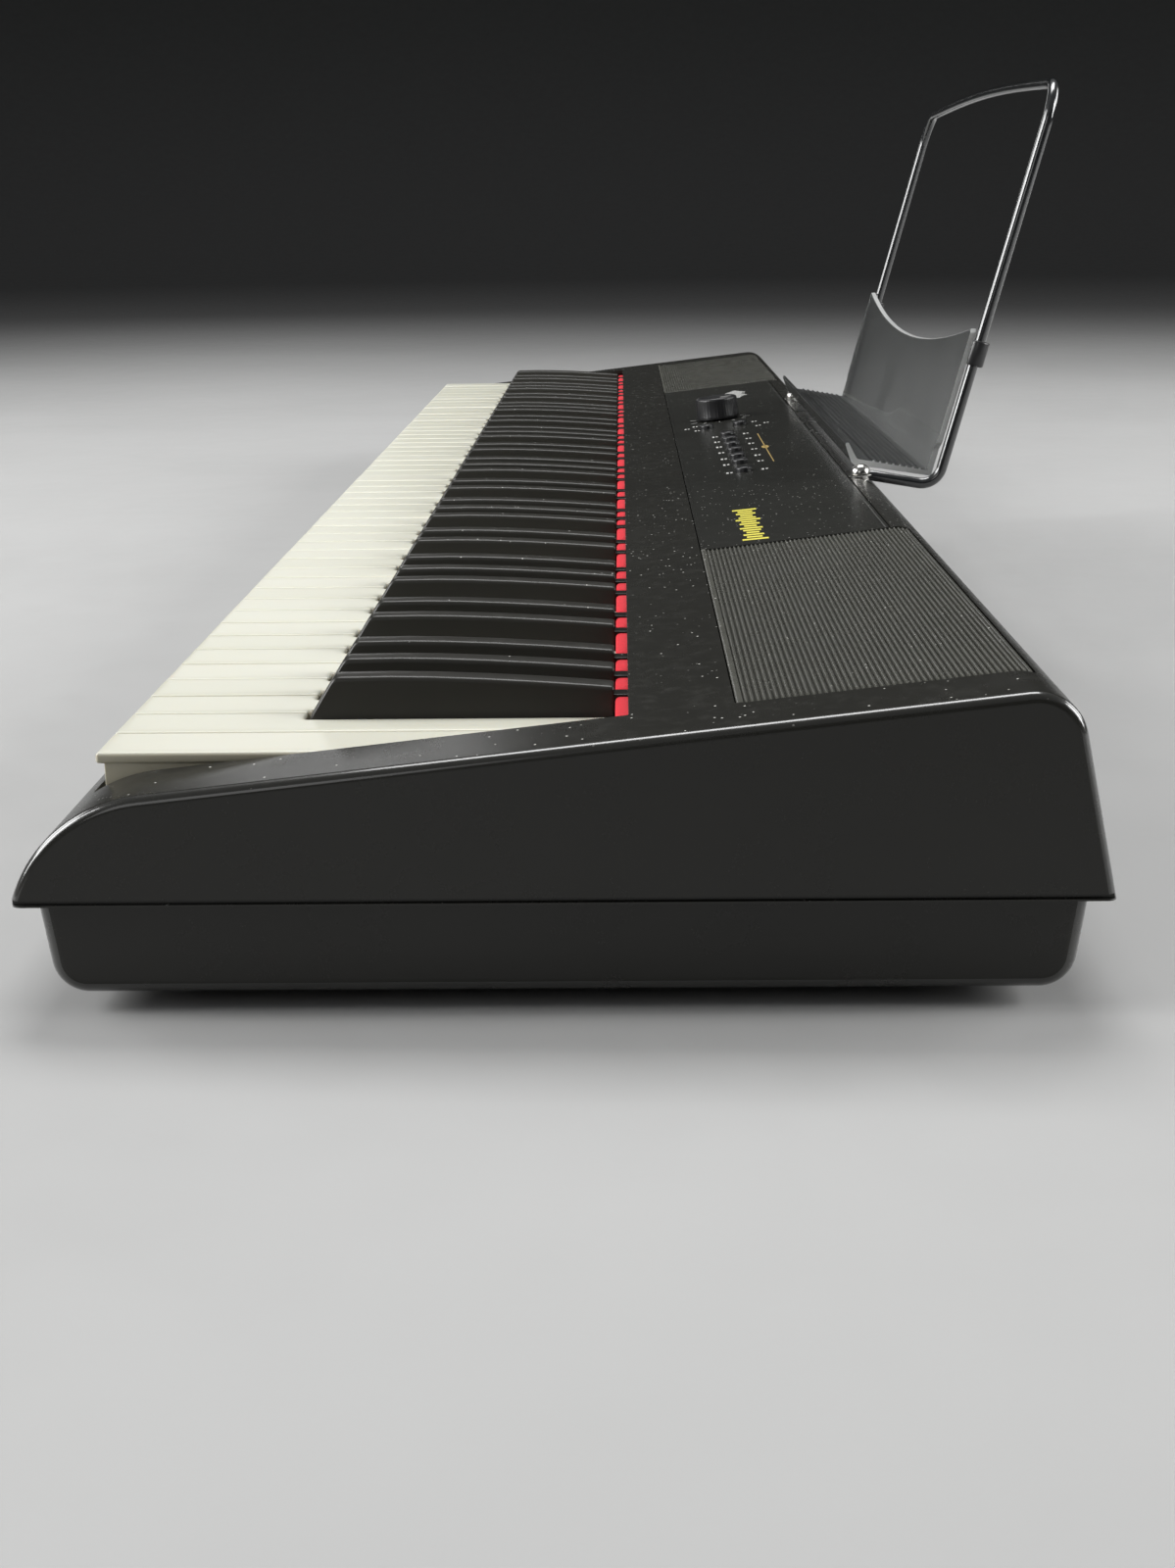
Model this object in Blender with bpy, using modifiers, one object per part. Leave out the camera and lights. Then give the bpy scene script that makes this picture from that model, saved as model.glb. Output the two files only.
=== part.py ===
"""An 88-key digital stage piano: case, keys, controls, loudspeakers, sockets and music rest.

Lengths are metres. Shapes are drawn in key coordinates: x runs along the keyboard to the treble
end, y runs back from the front lip of the white keys, and z rises from their top face.
KEY_ORIGIN carries key coordinates to the object's origin, the bottom centre of its bounding box.
The keys are moulded in combs, as plastic actions are: in each octave C E G B share one comb,
D F A share a second, and the black keys share a third. Each comb tilts about its flexure strip.
"""

import math

import bmesh
import bpy
from mathutils import Matrix, Vector

OBJECT_NAME = "stage_piano"
CUTTERS_NAME = "stage_piano_cutters"
GAP = 0.0004

# Keyboard
WHITE_PITCH = 0.0235
WHITE_COUNT = 52
WHITE_GAP = 0.0009
KEY_FRONT = 0.0
KEY_REAR = 0.150
WHITE_DEPTH = 0.015
WHITE_WALL = 0.0016
NOTCH_FRONT = 0.051
NOTCH_HALF = 0.0066
BLACK_HALF_BASE = 0.0055
BLACK_HALF_TOP = 0.0046
BLACK_FRONT = 0.0525
BLACK_REAR = 0.139
BLACK_BOTTOM = -0.009
BLACK_TOP = 0.012
BLACK_WALL = 0.0014
NECK_HALF = 0.0035
NECK_START = 0.0035
STRIP_FRONT = 0.157
STRIP_REAR = 0.172
STRIP_THICKNESS = 0.0019
STRIP_LEVELS = {"cegb": -0.0004, "dfa": -0.0042, "black": 0.0042}
PIVOT_Y = 0.165
WHITE_NAMES = "CDEFGAB"
BLACK_SHIFT = {"C": -0.0020, "D": 0.0020, "F": -0.0026, "G": 0.0, "A": 0.0020}
FIRST_WHITE = 5
OCTAVES = 7

# Case
CASE_HALF = 0.640
CASE_WALL = 0.0026
CASE_EDGE = 0.0014
CHEEK_START = 0.5 * WHITE_COUNT * WHITE_PITCH + 0.003
SLOT_HALF = 0.5 * WHITE_COUNT * WHITE_PITCH + 0.0008
SLOT_FRONT = -0.0008
SLOT_REAR = 0.143
SEAM = -0.034
LIP = Vector((-0.0176, -0.032))
NOSE_CENTRE = Vector((0.0216, -0.0458))
NOSE_RADIUS = 0.0415
TOP_SLOPE = 0.1112
TOP_LEVEL = -0.00638
REAR_FOOT = Vector((0.268, -0.032))
REAR_LEAN = 0.21
REAR_RADIUS = 0.014
FLANGE = 0.002
TRAY_HALF = 0.635
TRAY_FRONT = -0.0130
TRAY_REAR = 0.2632
TRAY_TAPER = 0.0042
TRAY_BOTTOM = -0.0602
TRAY_RADIUS = 0.010
TRAY_RIM = -0.031
FOOT_HEIGHT = 0.005
FOOT_RADIUS = 0.011
FOOT_X = 0.560
FOOT_Y = (0.035, 0.215)

# Insets in the top
INSET_FRONT = 0.1715
INSET_THICKNESS = 0.0022
GRILLE_REAR = 0.2500
GRILLE_INNER = 0.3505
GRILLE_OUTER = 0.6125
RIB_PITCH = 0.0017
RIB_DEPTH = 0.0007
PANEL_HALF = 0.3500
PANEL_REAR = 0.2430

# Controls
BUTTON_X = (-0.035, -0.009, 0.016, 0.043, 0.071, 0.096, 0.129)
BUTTON_Y = 0.200
SIDE_BUTTON_X = -0.084
SIDE_BUTTON_Y = (0.1905, 0.2095)
BUTTON_RADIUS = 0.0040
BUTTON_HEIGHT = 0.0022
BUTTON_CLEARANCE = 0.0004
KNOB_X = -0.130
KNOB_Y = 0.199
KNOB_RADIUS = 0.0125
KNOB_HEIGHT = 0.0130
SHAFT_RADIUS = 0.003

# Music rest
WIRE_RADIUS = 0.0025
REST_HALF = 0.197
REST_HOLE_Y = 0.2485
REST_PIN_BOTTOM = 0.006
REST_BEND_Z = 0.0222
REST_ELBOW = Vector((0.2822, 0.0164))
REST_LEAN = 0.275
REST_TOP = 0.188
REST_BOW = 0.004
REST_CORNER = 0.018
SHEET_THICKNESS = 0.0025
SHEET_BOTTOM = 0.0227
SHEET_SIDE_TOP = 0.0853
SHEET_SAG = 0.0135
LEDGE_HALF = 0.1935
LEDGE_FRONT = 0.2470
LEDGE_RISE = 0.0057
LIP_HEIGHT = 0.0066
CLIP_Z = 0.0745
CLIP_LENGTH = 0.011

# Rear sockets
SOCKET_Z = -0.015
POWER_X = -0.150
USB_X = -0.115
PEDAL_X = -0.080
PHONES_X = -0.045

REST_REAR = REST_ELBOW.x + REST_LEAN * (REST_TOP + REST_BOW - REST_ELBOW.y) + WIRE_RADIUS
KEY_ORIGIN = Vector((0.0, -0.5 * (LIP.x + REST_REAR), FOOT_HEIGHT - TRAY_BOTTOM))

COLOURS = {
    "case_black": ((0.030, 0.031, 0.030), 0.45, 0.0),
    "panel_black": ((0.018, 0.019, 0.019), 0.22, 0.0),
    "grille_black": ((0.045, 0.046, 0.045), 0.55, 0.0),
    "key_white": ((0.90, 0.89, 0.80), 0.25, 0.0),
    "key_black": ((0.014, 0.014, 0.013), 0.30, 0.0),
    "felt_red": ((0.75, 0.02, 0.05), 0.95, 0.0),
    "control_black": ((0.035, 0.035, 0.036), 0.40, 0.0),
    "wire_black": ((0.012, 0.013, 0.014), 0.18, 0.6),
    "smoked_clear": ((0.10, 0.10, 0.10), 0.08, 0.0),
    "rubber": ((0.020, 0.020, 0.020), 0.80, 0.0),
    "chassis_grey": ((0.12, 0.12, 0.12), 0.55, 0.0),
    "board_green": ((0.02, 0.16, 0.07), 0.50, 0.0),
    "contact_grey": ((0.30, 0.30, 0.31), 0.70, 0.0),
    "cone_paper": ((0.04, 0.04, 0.04), 0.85, 0.0),
    "nickel": ((0.60, 0.60, 0.60), 0.25, 1.0),
}


# ---------------------------------------------------------------- scene and mesh helpers

def clear_scene():
    for thing in list(bpy.data.objects):
        bpy.data.objects.remove(thing)
    for group in list(bpy.data.collections):
        bpy.data.collections.remove(group)


def new_collection(name):
    group = bpy.data.collections.new(name)
    bpy.context.scene.collection.children.link(group)
    return group


def make_materials():
    made = {}
    for name, (colour, roughness, metallic) in COLOURS.items():
        material = bpy.data.materials.new(name)
        material.use_nodes = True
        shader = material.node_tree.nodes["Principled BSDF"]
        shader.inputs["Base Color"].default_value = (*colour, 1.0)
        shader.inputs["Roughness"].default_value = roughness
        shader.inputs["Metallic"].default_value = metallic
        made[name] = material
    return made


def add_object(name, bm, group, pivot=(0.0, 0.0, 0.0)):
    """An object from bm, drawn in key coordinates, with its origin at pivot."""
    pivot = Vector(pivot)
    bmesh.ops.translate(bm, verts=bm.verts, vec=-pivot)
    mesh = bpy.data.meshes.new(name)
    bm.to_mesh(mesh)
    bm.free()
    made = bpy.data.objects.new(name, mesh)
    made.location = KEY_ORIGIN + pivot
    group.objects.link(made)
    return made


def add_part(name, bm, material, pivot=(0.0, 0.0, 0.0), smooth=False):
    made = add_object(name, bm, PARTS, pivot)
    made.data.materials.append(MATERIALS[material])
    if smooth:
        made.data.shade_smooth()
        made.data.set_sharp_from_angle(angle=math.radians(35))
    return made


def add_cutter(name, bm):
    made = add_object(name, bm, CUTTERS)
    made.hide_render = True
    made.display_type = "WIRE"
    return made


def combine(target, cutter, operation):
    step = target.modifiers.new(cutter.name, "BOOLEAN")
    step.operation = operation
    step.object = cutter
    step.solver = "EXACT"


def prism(bm, outline, axis, low, high):
    """Extrudes a closed outline of (u, v) points from low to high along axis, x or z."""
    if axis == "x":
        points = [Vector((low, u, v)) for u, v in outline]
        travel = Vector((high - low, 0.0, 0.0))
    else:
        points = [Vector((u, v, low)) for u, v in outline]
        travel = Vector((0.0, 0.0, high - low))
    face = bm.faces.new([bm.verts.new(point) for point in points])
    grown = bmesh.ops.extrude_face_region(bm, geom=[face])
    verts = [item for item in grown["geom"] if isinstance(item, bmesh.types.BMVert)]
    bmesh.ops.translate(bm, verts=verts, vec=travel)
    bmesh.ops.recalc_face_normals(bm, faces=bm.faces)
    return bm


def block(bm, low, high):
    low, high = Vector(low), Vector(high)
    matrix = Matrix.Translation((low + high) / 2) @ Matrix.Diagonal((*(high - low), 1.0))
    bmesh.ops.create_cube(bm, size=1.0, matrix=matrix)
    return bm


def drum(bm, radius, base, axis, length, segments=24):
    """A cylinder from base along axis."""
    axis = Vector(axis).normalized()
    turn = axis.to_track_quat("Z", "Y").to_matrix().to_4x4()
    matrix = Matrix.Translation(Vector(base) + axis * length / 2) @ turn
    bmesh.ops.create_cone(
        bm, cap_ends=True, segments=segments, radius1=radius, radius2=radius, depth=length, matrix=matrix
    )
    return bm


def turned(bm, profile, base, axis, segments):
    """Spins a closed half-profile of (radius, height) points about the axis through base."""
    axis = Vector(axis).normalized()
    turn = axis.to_track_quat("Z", "Y").to_matrix().to_4x4()
    place = Matrix.Translation(Vector(base)) @ turn
    verts = [bm.verts.new(Vector((radius, 0.0, height))) for radius, height in profile]
    edges = [bm.edges.new((verts[i], verts[i - 1])) for i in range(1, len(verts))]
    if profile[0][0] > 0.0:
        edges.append(bm.edges.new((verts[0], verts[-1])))
    bmesh.ops.spin(
        bm,
        geom=verts + edges,
        cent=(0.0, 0.0, 0.0),
        axis=(0.0, 0.0, 1.0),
        angle=2 * math.pi,
        steps=segments,
        use_merge=True,
    )
    bmesh.ops.remove_doubles(bm, verts=bm.verts, dist=1e-6)
    bmesh.ops.recalc_face_normals(bm, faces=bm.faces)
    bmesh.ops.transform(bm, matrix=place, verts=bm.verts)
    return bm


def arc(centre, radius, start, end, steps):
    """Points on a circle, from angle start to angle end in radians, both ends included."""
    angles = [start + (end - start) * i / steps for i in range(steps + 1)]
    return [centre + radius * Vector((math.cos(a), math.sin(a))) for a in angles]


def fillet(before, corner, after, radius, steps):
    """The arc that rounds a corner between two straight lines."""
    back = (before - corner).normalized()
    ahead = (after - corner).normalized()
    half = back.angle(ahead) / 2
    centre = corner + (back + ahead).normalized() * radius / math.sin(half)
    first = corner + back * radius / math.tan(half) - centre
    last = corner + ahead * radius / math.tan(half) - centre
    start = math.atan2(first.y, first.x)
    sweep = math.remainder(math.atan2(last.y, last.x) - start, 2 * math.pi)
    return arc(centre, radius, start, start + sweep, steps)


# ---------------------------------------------------------------- the case's side profile

TOP_DIRECTION = Vector((1.0, TOP_SLOPE)).normalized()
TOP_NORMAL = Vector((-TOP_DIRECTION.y, TOP_DIRECTION.x))
PANEL_NORMAL = Vector((0.0, TOP_NORMAL.x, TOP_NORMAL.y))


def top_z(y):
    return TOP_SLOPE * y + TOP_LEVEL


def top_corner(inset):
    """Where the top and the rear face would meet, both moved inwards by inset."""
    rear_direction = Vector((-REAR_LEAN, 1.0)).normalized()
    rear_normal = Vector((rear_direction.y, -rear_direction.x))
    top_point = Vector((0.0, TOP_LEVEL)) - TOP_NORMAL * inset
    rear_point = REAR_FOOT - rear_normal * inset
    gap = rear_point - top_point
    along = gap.cross(rear_direction) / TOP_DIRECTION.cross(rear_direction)
    return top_point + TOP_DIRECTION * along, rear_direction


def rear_arc(inset, steps):
    corner, rear_direction = top_corner(inset)
    before = corner - TOP_DIRECTION
    after = corner - rear_direction
    return fillet(before, corner, after, REAR_RADIUS - inset, steps)


def case_profile(inset, bottom, nose_steps=9, rear_steps=6):
    """The upper shell's outline from its front lip over the top to the rear, moved in by inset."""
    radius = NOSE_RADIUS - inset
    lip_z = max(LIP.y, bottom)
    lip_angle = math.pi - math.asin((lip_z - NOSE_CENTRE.y) / radius)
    top_angle = math.atan2(TOP_NORMAL.y, TOP_NORMAL.x)
    nose = arc(NOSE_CENTRE, radius, lip_angle, top_angle, nose_steps)
    if bottom < lip_z:
        nose.insert(0, Vector((nose[0].x, bottom)))
    rear_foot = Vector((REAR_FOOT.x - inset * 1.02 - REAR_LEAN * (bottom - REAR_FOOT.y), bottom))
    return nose + rear_arc(inset, rear_steps) + [rear_foot]


def top_surface(length):
    """Point and outward normal on the top, at an arc length behind the insets' front edge."""
    start = Vector((INSET_FRONT, top_z(INSET_FRONT)))
    bend = rear_arc(0.0, 2)
    straight = (bend[0] - start).length
    if length <= straight:
        return start + TOP_DIRECTION * length, TOP_NORMAL
    angle = (length - straight) / REAR_RADIUS
    centre = bend[0] - TOP_NORMAL * REAR_RADIUS
    normal = TOP_NORMAL.copy()
    normal.rotate(Matrix.Rotation(-angle, 2))
    return centre + normal * REAR_RADIUS, normal


def inset_length(rear):
    """Arc length of an inset whose rear edge lies at y = rear."""
    length = 0.0
    while top_surface(length)[0].x < rear:
        length += 0.0001
    return length


# ---------------------------------------------------------------- keys

def white_left(index):
    """Left edge of white key index, counted from 0 at A0."""
    return (index - WHITE_COUNT / 2) * WHITE_PITCH


def black_centre(index):
    """Centre of the black key to the right of white key index."""
    letter = WHITE_NAMES[(index + FIRST_WHITE) % 7]
    return white_left(index + 1) + BLACK_SHIFT[letter]


def has_black(index):
    """True if a black key follows white key index."""
    letter = WHITE_NAMES[(index + FIRST_WHITE) % 7]
    return letter in BLACK_SHIFT and 0 <= index < WHITE_COUNT - 1


def white_outline(index):
    """Plan of a white key: full width at the front, notched beside its black keys."""
    left = white_left(index) + WHITE_GAP / 2
    right = white_left(index + 1) - WHITE_GAP / 2
    points = [(left, KEY_FRONT), (right, KEY_FRONT)]
    if has_black(index):
        notch = black_centre(index) - NOTCH_HALF
        points += [(right, NOTCH_FRONT), (notch, NOTCH_FRONT)]
        right = notch
    points += [(right, KEY_REAR)]
    if has_black(index - 1):
        notch = black_centre(index - 1) + NOTCH_HALF
        points += [(notch, KEY_REAR), (notch, NOTCH_FRONT), (left, NOTCH_FRONT)]
        left = notch
    else:
        points += [(left, KEY_REAR)]
    return points, 0.5 * (left + right)


def white_shell(bm, index):
    """Top and sides of a white key, open below, before it gets its thickness."""
    outline, _ = white_outline(index)
    face = bm.faces.new([bm.verts.new((x, y, 0.0)) for x, y in outline])
    grown = bmesh.ops.extrude_edge_only(bm, edges=list(face.edges))
    verts = [item for item in grown["geom"] if isinstance(item, bmesh.types.BMVert)]
    bmesh.ops.translate(bm, verts=verts, vec=(0.0, 0.0, -WHITE_DEPTH))


def black_shell(bm, index):
    """A black key: sloped front, crowned top that falls to the rear, sides that lean in."""
    centre = black_centre(index)
    side = [
        (BLACK_REAR, BLACK_BOTTOM),
        (BLACK_FRONT, BLACK_BOTTOM),
        (BLACK_FRONT, 0.0003),
        (BLACK_FRONT + 0.0055, 0.0092),
        (BLACK_FRONT + 0.0105, 0.0112),
        (BLACK_FRONT + 0.0230, BLACK_TOP),
        (0.5 * (BLACK_FRONT + BLACK_REAR) + 0.012, 0.0108),
        (BLACK_REAR, 0.0086),
    ]
    piece = bmesh.new()
    prism(piece, side, "x", -BLACK_HALF_BASE, BLACK_HALF_BASE)
    for vert in piece.verts:
        lean = max(vert.co.z, 0.0) / BLACK_TOP * (BLACK_HALF_BASE - BLACK_HALF_TOP)
        vert.co.x += -lean if vert.co.x > 0 else lean
    below = [face for face in piece.faces if face.normal.z < -0.9]
    bmesh.ops.delete(piece, geom=below, context="FACES_ONLY")
    bmesh.ops.translate(piece, verts=piece.verts, vec=(centre, 0.0, 0.0))
    holder = bpy.data.meshes.new("black_key")
    piece.to_mesh(holder)
    piece.free()
    bm.from_mesh(holder)
    bpy.data.meshes.remove(holder)


def flexure_outline(necks, left, right, shell_rear):
    """Plan of a comb's flexure plate: a strip across the comb and a neck into each key."""
    points = [(right, STRIP_REAR), (left, STRIP_REAR), (left, STRIP_FRONT)]
    for centre in necks:
        points += [(centre - NECK_HALF, STRIP_FRONT), (centre - NECK_HALF, shell_rear - NECK_START)]
        points += [(centre + NECK_HALF, shell_rear - NECK_START), (centre + NECK_HALF, STRIP_FRONT)]
    points.append((right, STRIP_FRONT))
    return points


def key_comb(name, kind, indices, left, right):
    """One moulded comb of keys: thin shells joined by a flexure plate."""
    bm = bmesh.new()
    if kind == "black":
        for index in indices:
            black_shell(bm, index)
        necks = [black_centre(index) for index in indices]
        rear, wall, material = BLACK_REAR, BLACK_WALL, "key_black"
    else:
        for index in indices:
            white_shell(bm, index)
        necks = [white_outline(index)[1] for index in indices]
        rear, wall, material = KEY_REAR, WHITE_WALL, "key_white"
    level = STRIP_LEVELS[kind]
    pivot = (0.5 * (left + right), PIVOT_Y, level - STRIP_THICKNESS / 2)
    comb = add_part(name, bm, material, pivot)
    shell = comb.modifiers.new("wall", "SOLIDIFY")
    shell.thickness = wall
    shell.offset = -1.0
    shell.use_even_offset = True
    shell.use_quality_normals = True
    plate = prism(
        bmesh.new(), flexure_outline(necks, left, right, rear), "z", level - STRIP_THICKNESS, level
    )
    combine(comb, add_cutter(name + "_flexure", plate), "UNION")


def key_combs():
    """The three combs of each octave, and the short combs at the bass end."""
    edge = 0.0006
    first_c = 2
    low_end = white_left(0) + edge
    low_rest = white_left(first_c) - edge
    key_comb("white_keys_0_ab", "cegb", [0, 1], low_end, low_rest)
    key_comb("black_key_0", "black", [0], low_end, low_rest)
    for octave in range(OCTAVES):
        base = first_c + 7 * octave
        left = white_left(base) + edge
        right = white_left(base + 7) - edge
        cegb = [base, base + 2, base + 4, base + 6]
        wide_right = right
        if octave == OCTAVES - 1:
            cegb.append(base + 7)
            wide_right = white_left(base + 8) - edge
        number = octave + 1
        key_comb(f"white_keys_{number}_cegb", "cegb", cegb, left, wide_right)
        key_comb(f"white_keys_{number}_dfa", "dfa", [base + 1, base + 3, base + 5], left, right)
        blacks = [base, base + 1, base + 3, base + 4, base + 5]
        key_comb(f"black_keys_{number}", "black", blacks, left, right)


# ---------------------------------------------------------------- case

def upper_case():
    """Moulded top shell with end cheeks, key slot, inset opening and an inturned flange below."""
    bm = prism(bmesh.new(), case_profile(0.0, SEAM), "x", -CASE_HALF, CASE_HALF)
    ends = [edge for edge in bm.edges if abs(edge.verts[0].co.x - edge.verts[1].co.x) < 1e-6]
    top_ends = [edge for edge in ends if max(vert.co.z for vert in edge.verts) > SEAM + 0.0001]
    bmesh.ops.bevel(bm, geom=top_ends, offset=CASE_EDGE, segments=2, profile=0.5, affect="EDGES")
    case = add_part("upper_case", bm, "case_black")

    hollow = case_profile(CASE_WALL, SEAM + FLANGE, nose_steps=6, rear_steps=5)
    spans = (
        (-CASE_HALF + CASE_WALL, -CHEEK_START - CASE_WALL),
        (-CHEEK_START, CHEEK_START),
        (CHEEK_START + CASE_WALL, CASE_HALF - CASE_WALL),
    )
    bm = bmesh.new()
    for low, high in spans:
        prism(bm, hollow, "x", low, high)
    combine(case, add_cutter("case_hollow", bm), "DIFFERENCE")

    bm = block(
        bmesh.new(),
        (-TRAY_HALF - GAP, TRAY_FRONT - GAP, SEAM - 0.002),
        (TRAY_HALF + GAP, TRAY_REAR + GAP, TRAY_RIM + 0.001),
    )
    combine(case, add_cutter("tray_opening", bm), "DIFFERENCE")

    bm = block(bmesh.new(), (-SLOT_HALF, SLOT_FRONT, -0.029), (SLOT_HALF, SLOT_REAR, 0.04))
    combine(case, add_cutter("key_slot", bm), "DIFFERENCE")

    wide, narrow = GRILLE_OUTER + GAP, PANEL_HALF + GAP
    front, rear, panel_rear = INSET_FRONT - GAP, GRILLE_REAR + GAP, PANEL_REAR + GAP
    plan = [
        (-wide, front), (wide, front), (wide, rear), (narrow, rear),
        (narrow, panel_rear), (-narrow, panel_rear), (-narrow, rear), (-wide, rear),
    ]
    bm = prism(bmesh.new(), plan, "z", 0.005, 0.04)
    combine(case, add_cutter("inset_opening", bm), "DIFFERENCE")

    bm = bmesh.new()
    for side in (-1, 1):
        drum(bm, 0.0042, (side * REST_HALF, REST_HOLE_Y, 0.004), (0, 0, 1), 0.03, 16)
    for x in (POWER_X, PEDAL_X, PHONES_X):
        drum(bm, 0.0056, (x, 0.252, SOCKET_Z), (0, 1, 0), 0.03, 16)
    block(bm, (USB_X - 0.0064, 0.252, SOCKET_Z - 0.0059), (USB_X + 0.0064, 0.282, SOCKET_Z + 0.0059))
    combine(case, add_cutter("case_holes", bm), "DIFFERENCE")


def tray_outline(inset):
    """Side outline of the tray, front rim down, round the bottom and up to the rear rim."""
    front_top = Vector((TRAY_FRONT + inset, TRAY_RIM))
    front_low = Vector((TRAY_FRONT + TRAY_TAPER + inset, TRAY_BOTTOM + inset))
    rear_low = Vector((TRAY_REAR - TRAY_TAPER - inset, TRAY_BOTTOM + inset))
    rear_top = Vector((TRAY_REAR - inset, TRAY_RIM))
    radius = TRAY_RADIUS - inset
    points = [front_top]
    points += fillet(front_top, front_low, rear_low, radius, 4)
    points += fillet(front_low, rear_low, rear_top, radius, 4)
    points.append(rear_top)
    return points


def lower_case():
    """Moulded tray with tapered sides and a round-edged bottom."""
    bm = prism(bmesh.new(), tray_outline(0.0), "x", -TRAY_HALF, TRAY_HALF)
    low_ends = [
        edge for edge in bm.edges
        if abs(edge.verts[0].co.x - edge.verts[1].co.x) < 1e-6
        and min(vert.co.z for vert in edge.verts) < TRAY_RIM - 0.0001
    ]
    bmesh.ops.bevel(bm, geom=low_ends, offset=0.003, segments=2, profile=0.5, affect="EDGES")
    tray = add_part("lower_case", bm, "case_black")
    hollow = tray_outline(CASE_WALL)
    hollow[0] = hollow[0] + Vector((0.0, 0.01))
    hollow[-1] = hollow[-1] + Vector((0.0, 0.01))
    bm = prism(bmesh.new(), hollow, "x", -TRAY_HALF + CASE_WALL, TRAY_HALF - CASE_WALL)
    combine(tray, add_cutter("tray_hollow", bm), "DIFFERENCE")


def rubber_feet():
    number = 0
    for y in FOOT_Y:
        for side in (-1, 1):
            number += 1
            bm = bmesh.new()
            base = (side * FOOT_X, y, TRAY_BOTTOM - FOOT_HEIGHT)
            height = FOOT_HEIGHT - GAP
            profile = [(0.0, height), (FOOT_RADIUS, height), (FOOT_RADIUS, 0.0012)]
            profile += [(FOOT_RADIUS - 0.0012, 0.0), (0.0, 0.0)]
            turned(bm, profile, base, (0, 0, 1), 20)
            add_part(f"rubber_foot_{number}", bm, "rubber", smooth=True)


def felt_strip():
    """Red felt under the front edge of the case, over the keys' tails."""
    underside = TOP_LEVEL - CASE_WALL * 1.006 - GAP
    thickness = 0.0015
    front, rear = SLOT_REAR - 0.0034, SLOT_REAR + 0.007
    outline = [
        (front, underside + TOP_SLOPE * front),
        (front, underside + TOP_SLOPE * front - thickness),
        (rear, underside + TOP_SLOPE * rear - thickness),
        (rear, underside + TOP_SLOPE * rear),
    ]
    bm = prism(bmesh.new(), outline, "x", -SLOT_HALF + 0.001, SLOT_HALF - 0.001)
    add_part("felt_strip", bm, "felt_red")


# ---------------------------------------------------------------- insets in the top

def speaker_grille(name, side):
    """Grille plate whose ribs run along the piano and wrap over the rear corner."""
    total = inset_length(GRILLE_REAR)
    count = round(total / RIB_PITCH)
    upper = []
    for rib in range(count):
        point, normal = top_surface(total * (rib + 0.5) / count)
        upper.append(point)
        point, normal = top_surface(total * (rib + 1.0) / count)
        upper.append(point - normal * RIB_DEPTH)
    point, normal = top_surface(0.0)
    upper.insert(0, point - normal * RIB_DEPTH)
    lower = []
    for step in (1.0, 0.95, 0.90, 0.85, 0.0):
        point, normal = top_surface(total * step)
        lower.append(point - normal * INSET_THICKNESS)
    low, high = sorted((side * GRILLE_INNER, side * GRILLE_OUTER))
    bm = prism(bmesh.new(), upper + lower, "x", low, high)
    add_part(name, bm, "grille_black")


def button_places():
    places = [(f"function_button_{i + 1}", x, BUTTON_Y) for i, x in enumerate(BUTTON_X)]
    places.append(("function_button_8", SIDE_BUTTON_X, SIDE_BUTTON_Y[1]))
    places.append(("power_button", SIDE_BUTTON_X, SIDE_BUTTON_Y[0]))
    return places


def control_panel():
    """Glossy fascia between the grilles, with a hole for each control."""
    total = inset_length(PANEL_REAR)
    upper = [top_surface(total * step)[0] for step in (0.0, 0.985, 1.0)]
    lower = []
    for step in (1.0, 0.985, 0.0):
        point, normal = top_surface(total * step)
        lower.append(point - normal * INSET_THICKNESS)
    bm = prism(bmesh.new(), upper + lower, "x", -PANEL_HALF, PANEL_HALF)
    panel = add_part("control_panel", bm, "panel_black")
    bm = bmesh.new()
    reach = PANEL_NORMAL * 0.01
    for _, x, y in button_places():
        base = Vector((x, y, top_z(y))) - reach
        drum(bm, BUTTON_RADIUS + BUTTON_CLEARANCE, base, PANEL_NORMAL, 0.02, 16)
    base = Vector((KNOB_X, KNOB_Y, top_z(KNOB_Y))) - reach
    drum(bm, SHAFT_RADIUS + BUTTON_CLEARANCE, base, PANEL_NORMAL, 0.02, 16)
    combine(panel, add_cutter("panel_holes", bm), "DIFFERENCE")


def buttons():
    """Round push buttons with a softly broken edge and a wider skirt under the fascia."""
    skirt_top, bottom = -0.0044, -0.0062
    profile = [
        (0.0, BUTTON_HEIGHT),
        (BUTTON_RADIUS - 0.0010, BUTTON_HEIGHT - 0.0001),
        (BUTTON_RADIUS, BUTTON_HEIGHT - 0.0008),
        (BUTTON_RADIUS, skirt_top),
        (BUTTON_RADIUS + 0.0010, skirt_top),
        (BUTTON_RADIUS + 0.0010, bottom),
        (0.0, bottom),
    ]
    for name, x, y in button_places():
        base = Vector((x, y, top_z(y)))
        bm = turned(bmesh.new(), profile, base, PANEL_NORMAL, 16)
        add_part(name, bm, "control_black", pivot=base, smooth=True)


def volume_knob():
    lift = 0.0006
    profile = [
        (0.0, KNOB_HEIGHT),
        (KNOB_RADIUS - 0.0014, KNOB_HEIGHT),
        (KNOB_RADIUS - 0.0004, KNOB_HEIGHT - 0.0010),
        (KNOB_RADIUS, lift),
        (SHAFT_RADIUS, lift),
        (SHAFT_RADIUS, -0.0062),
        (0.0, -0.0062),
    ]
    base = Vector((KNOB_X, KNOB_Y, top_z(KNOB_Y)))
    bm = turned(bmesh.new(), profile, base, PANEL_NORMAL, 28)
    add_part("volume_knob", bm, "control_black", pivot=base, smooth=True)


# ---------------------------------------------------------------- inside

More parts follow.
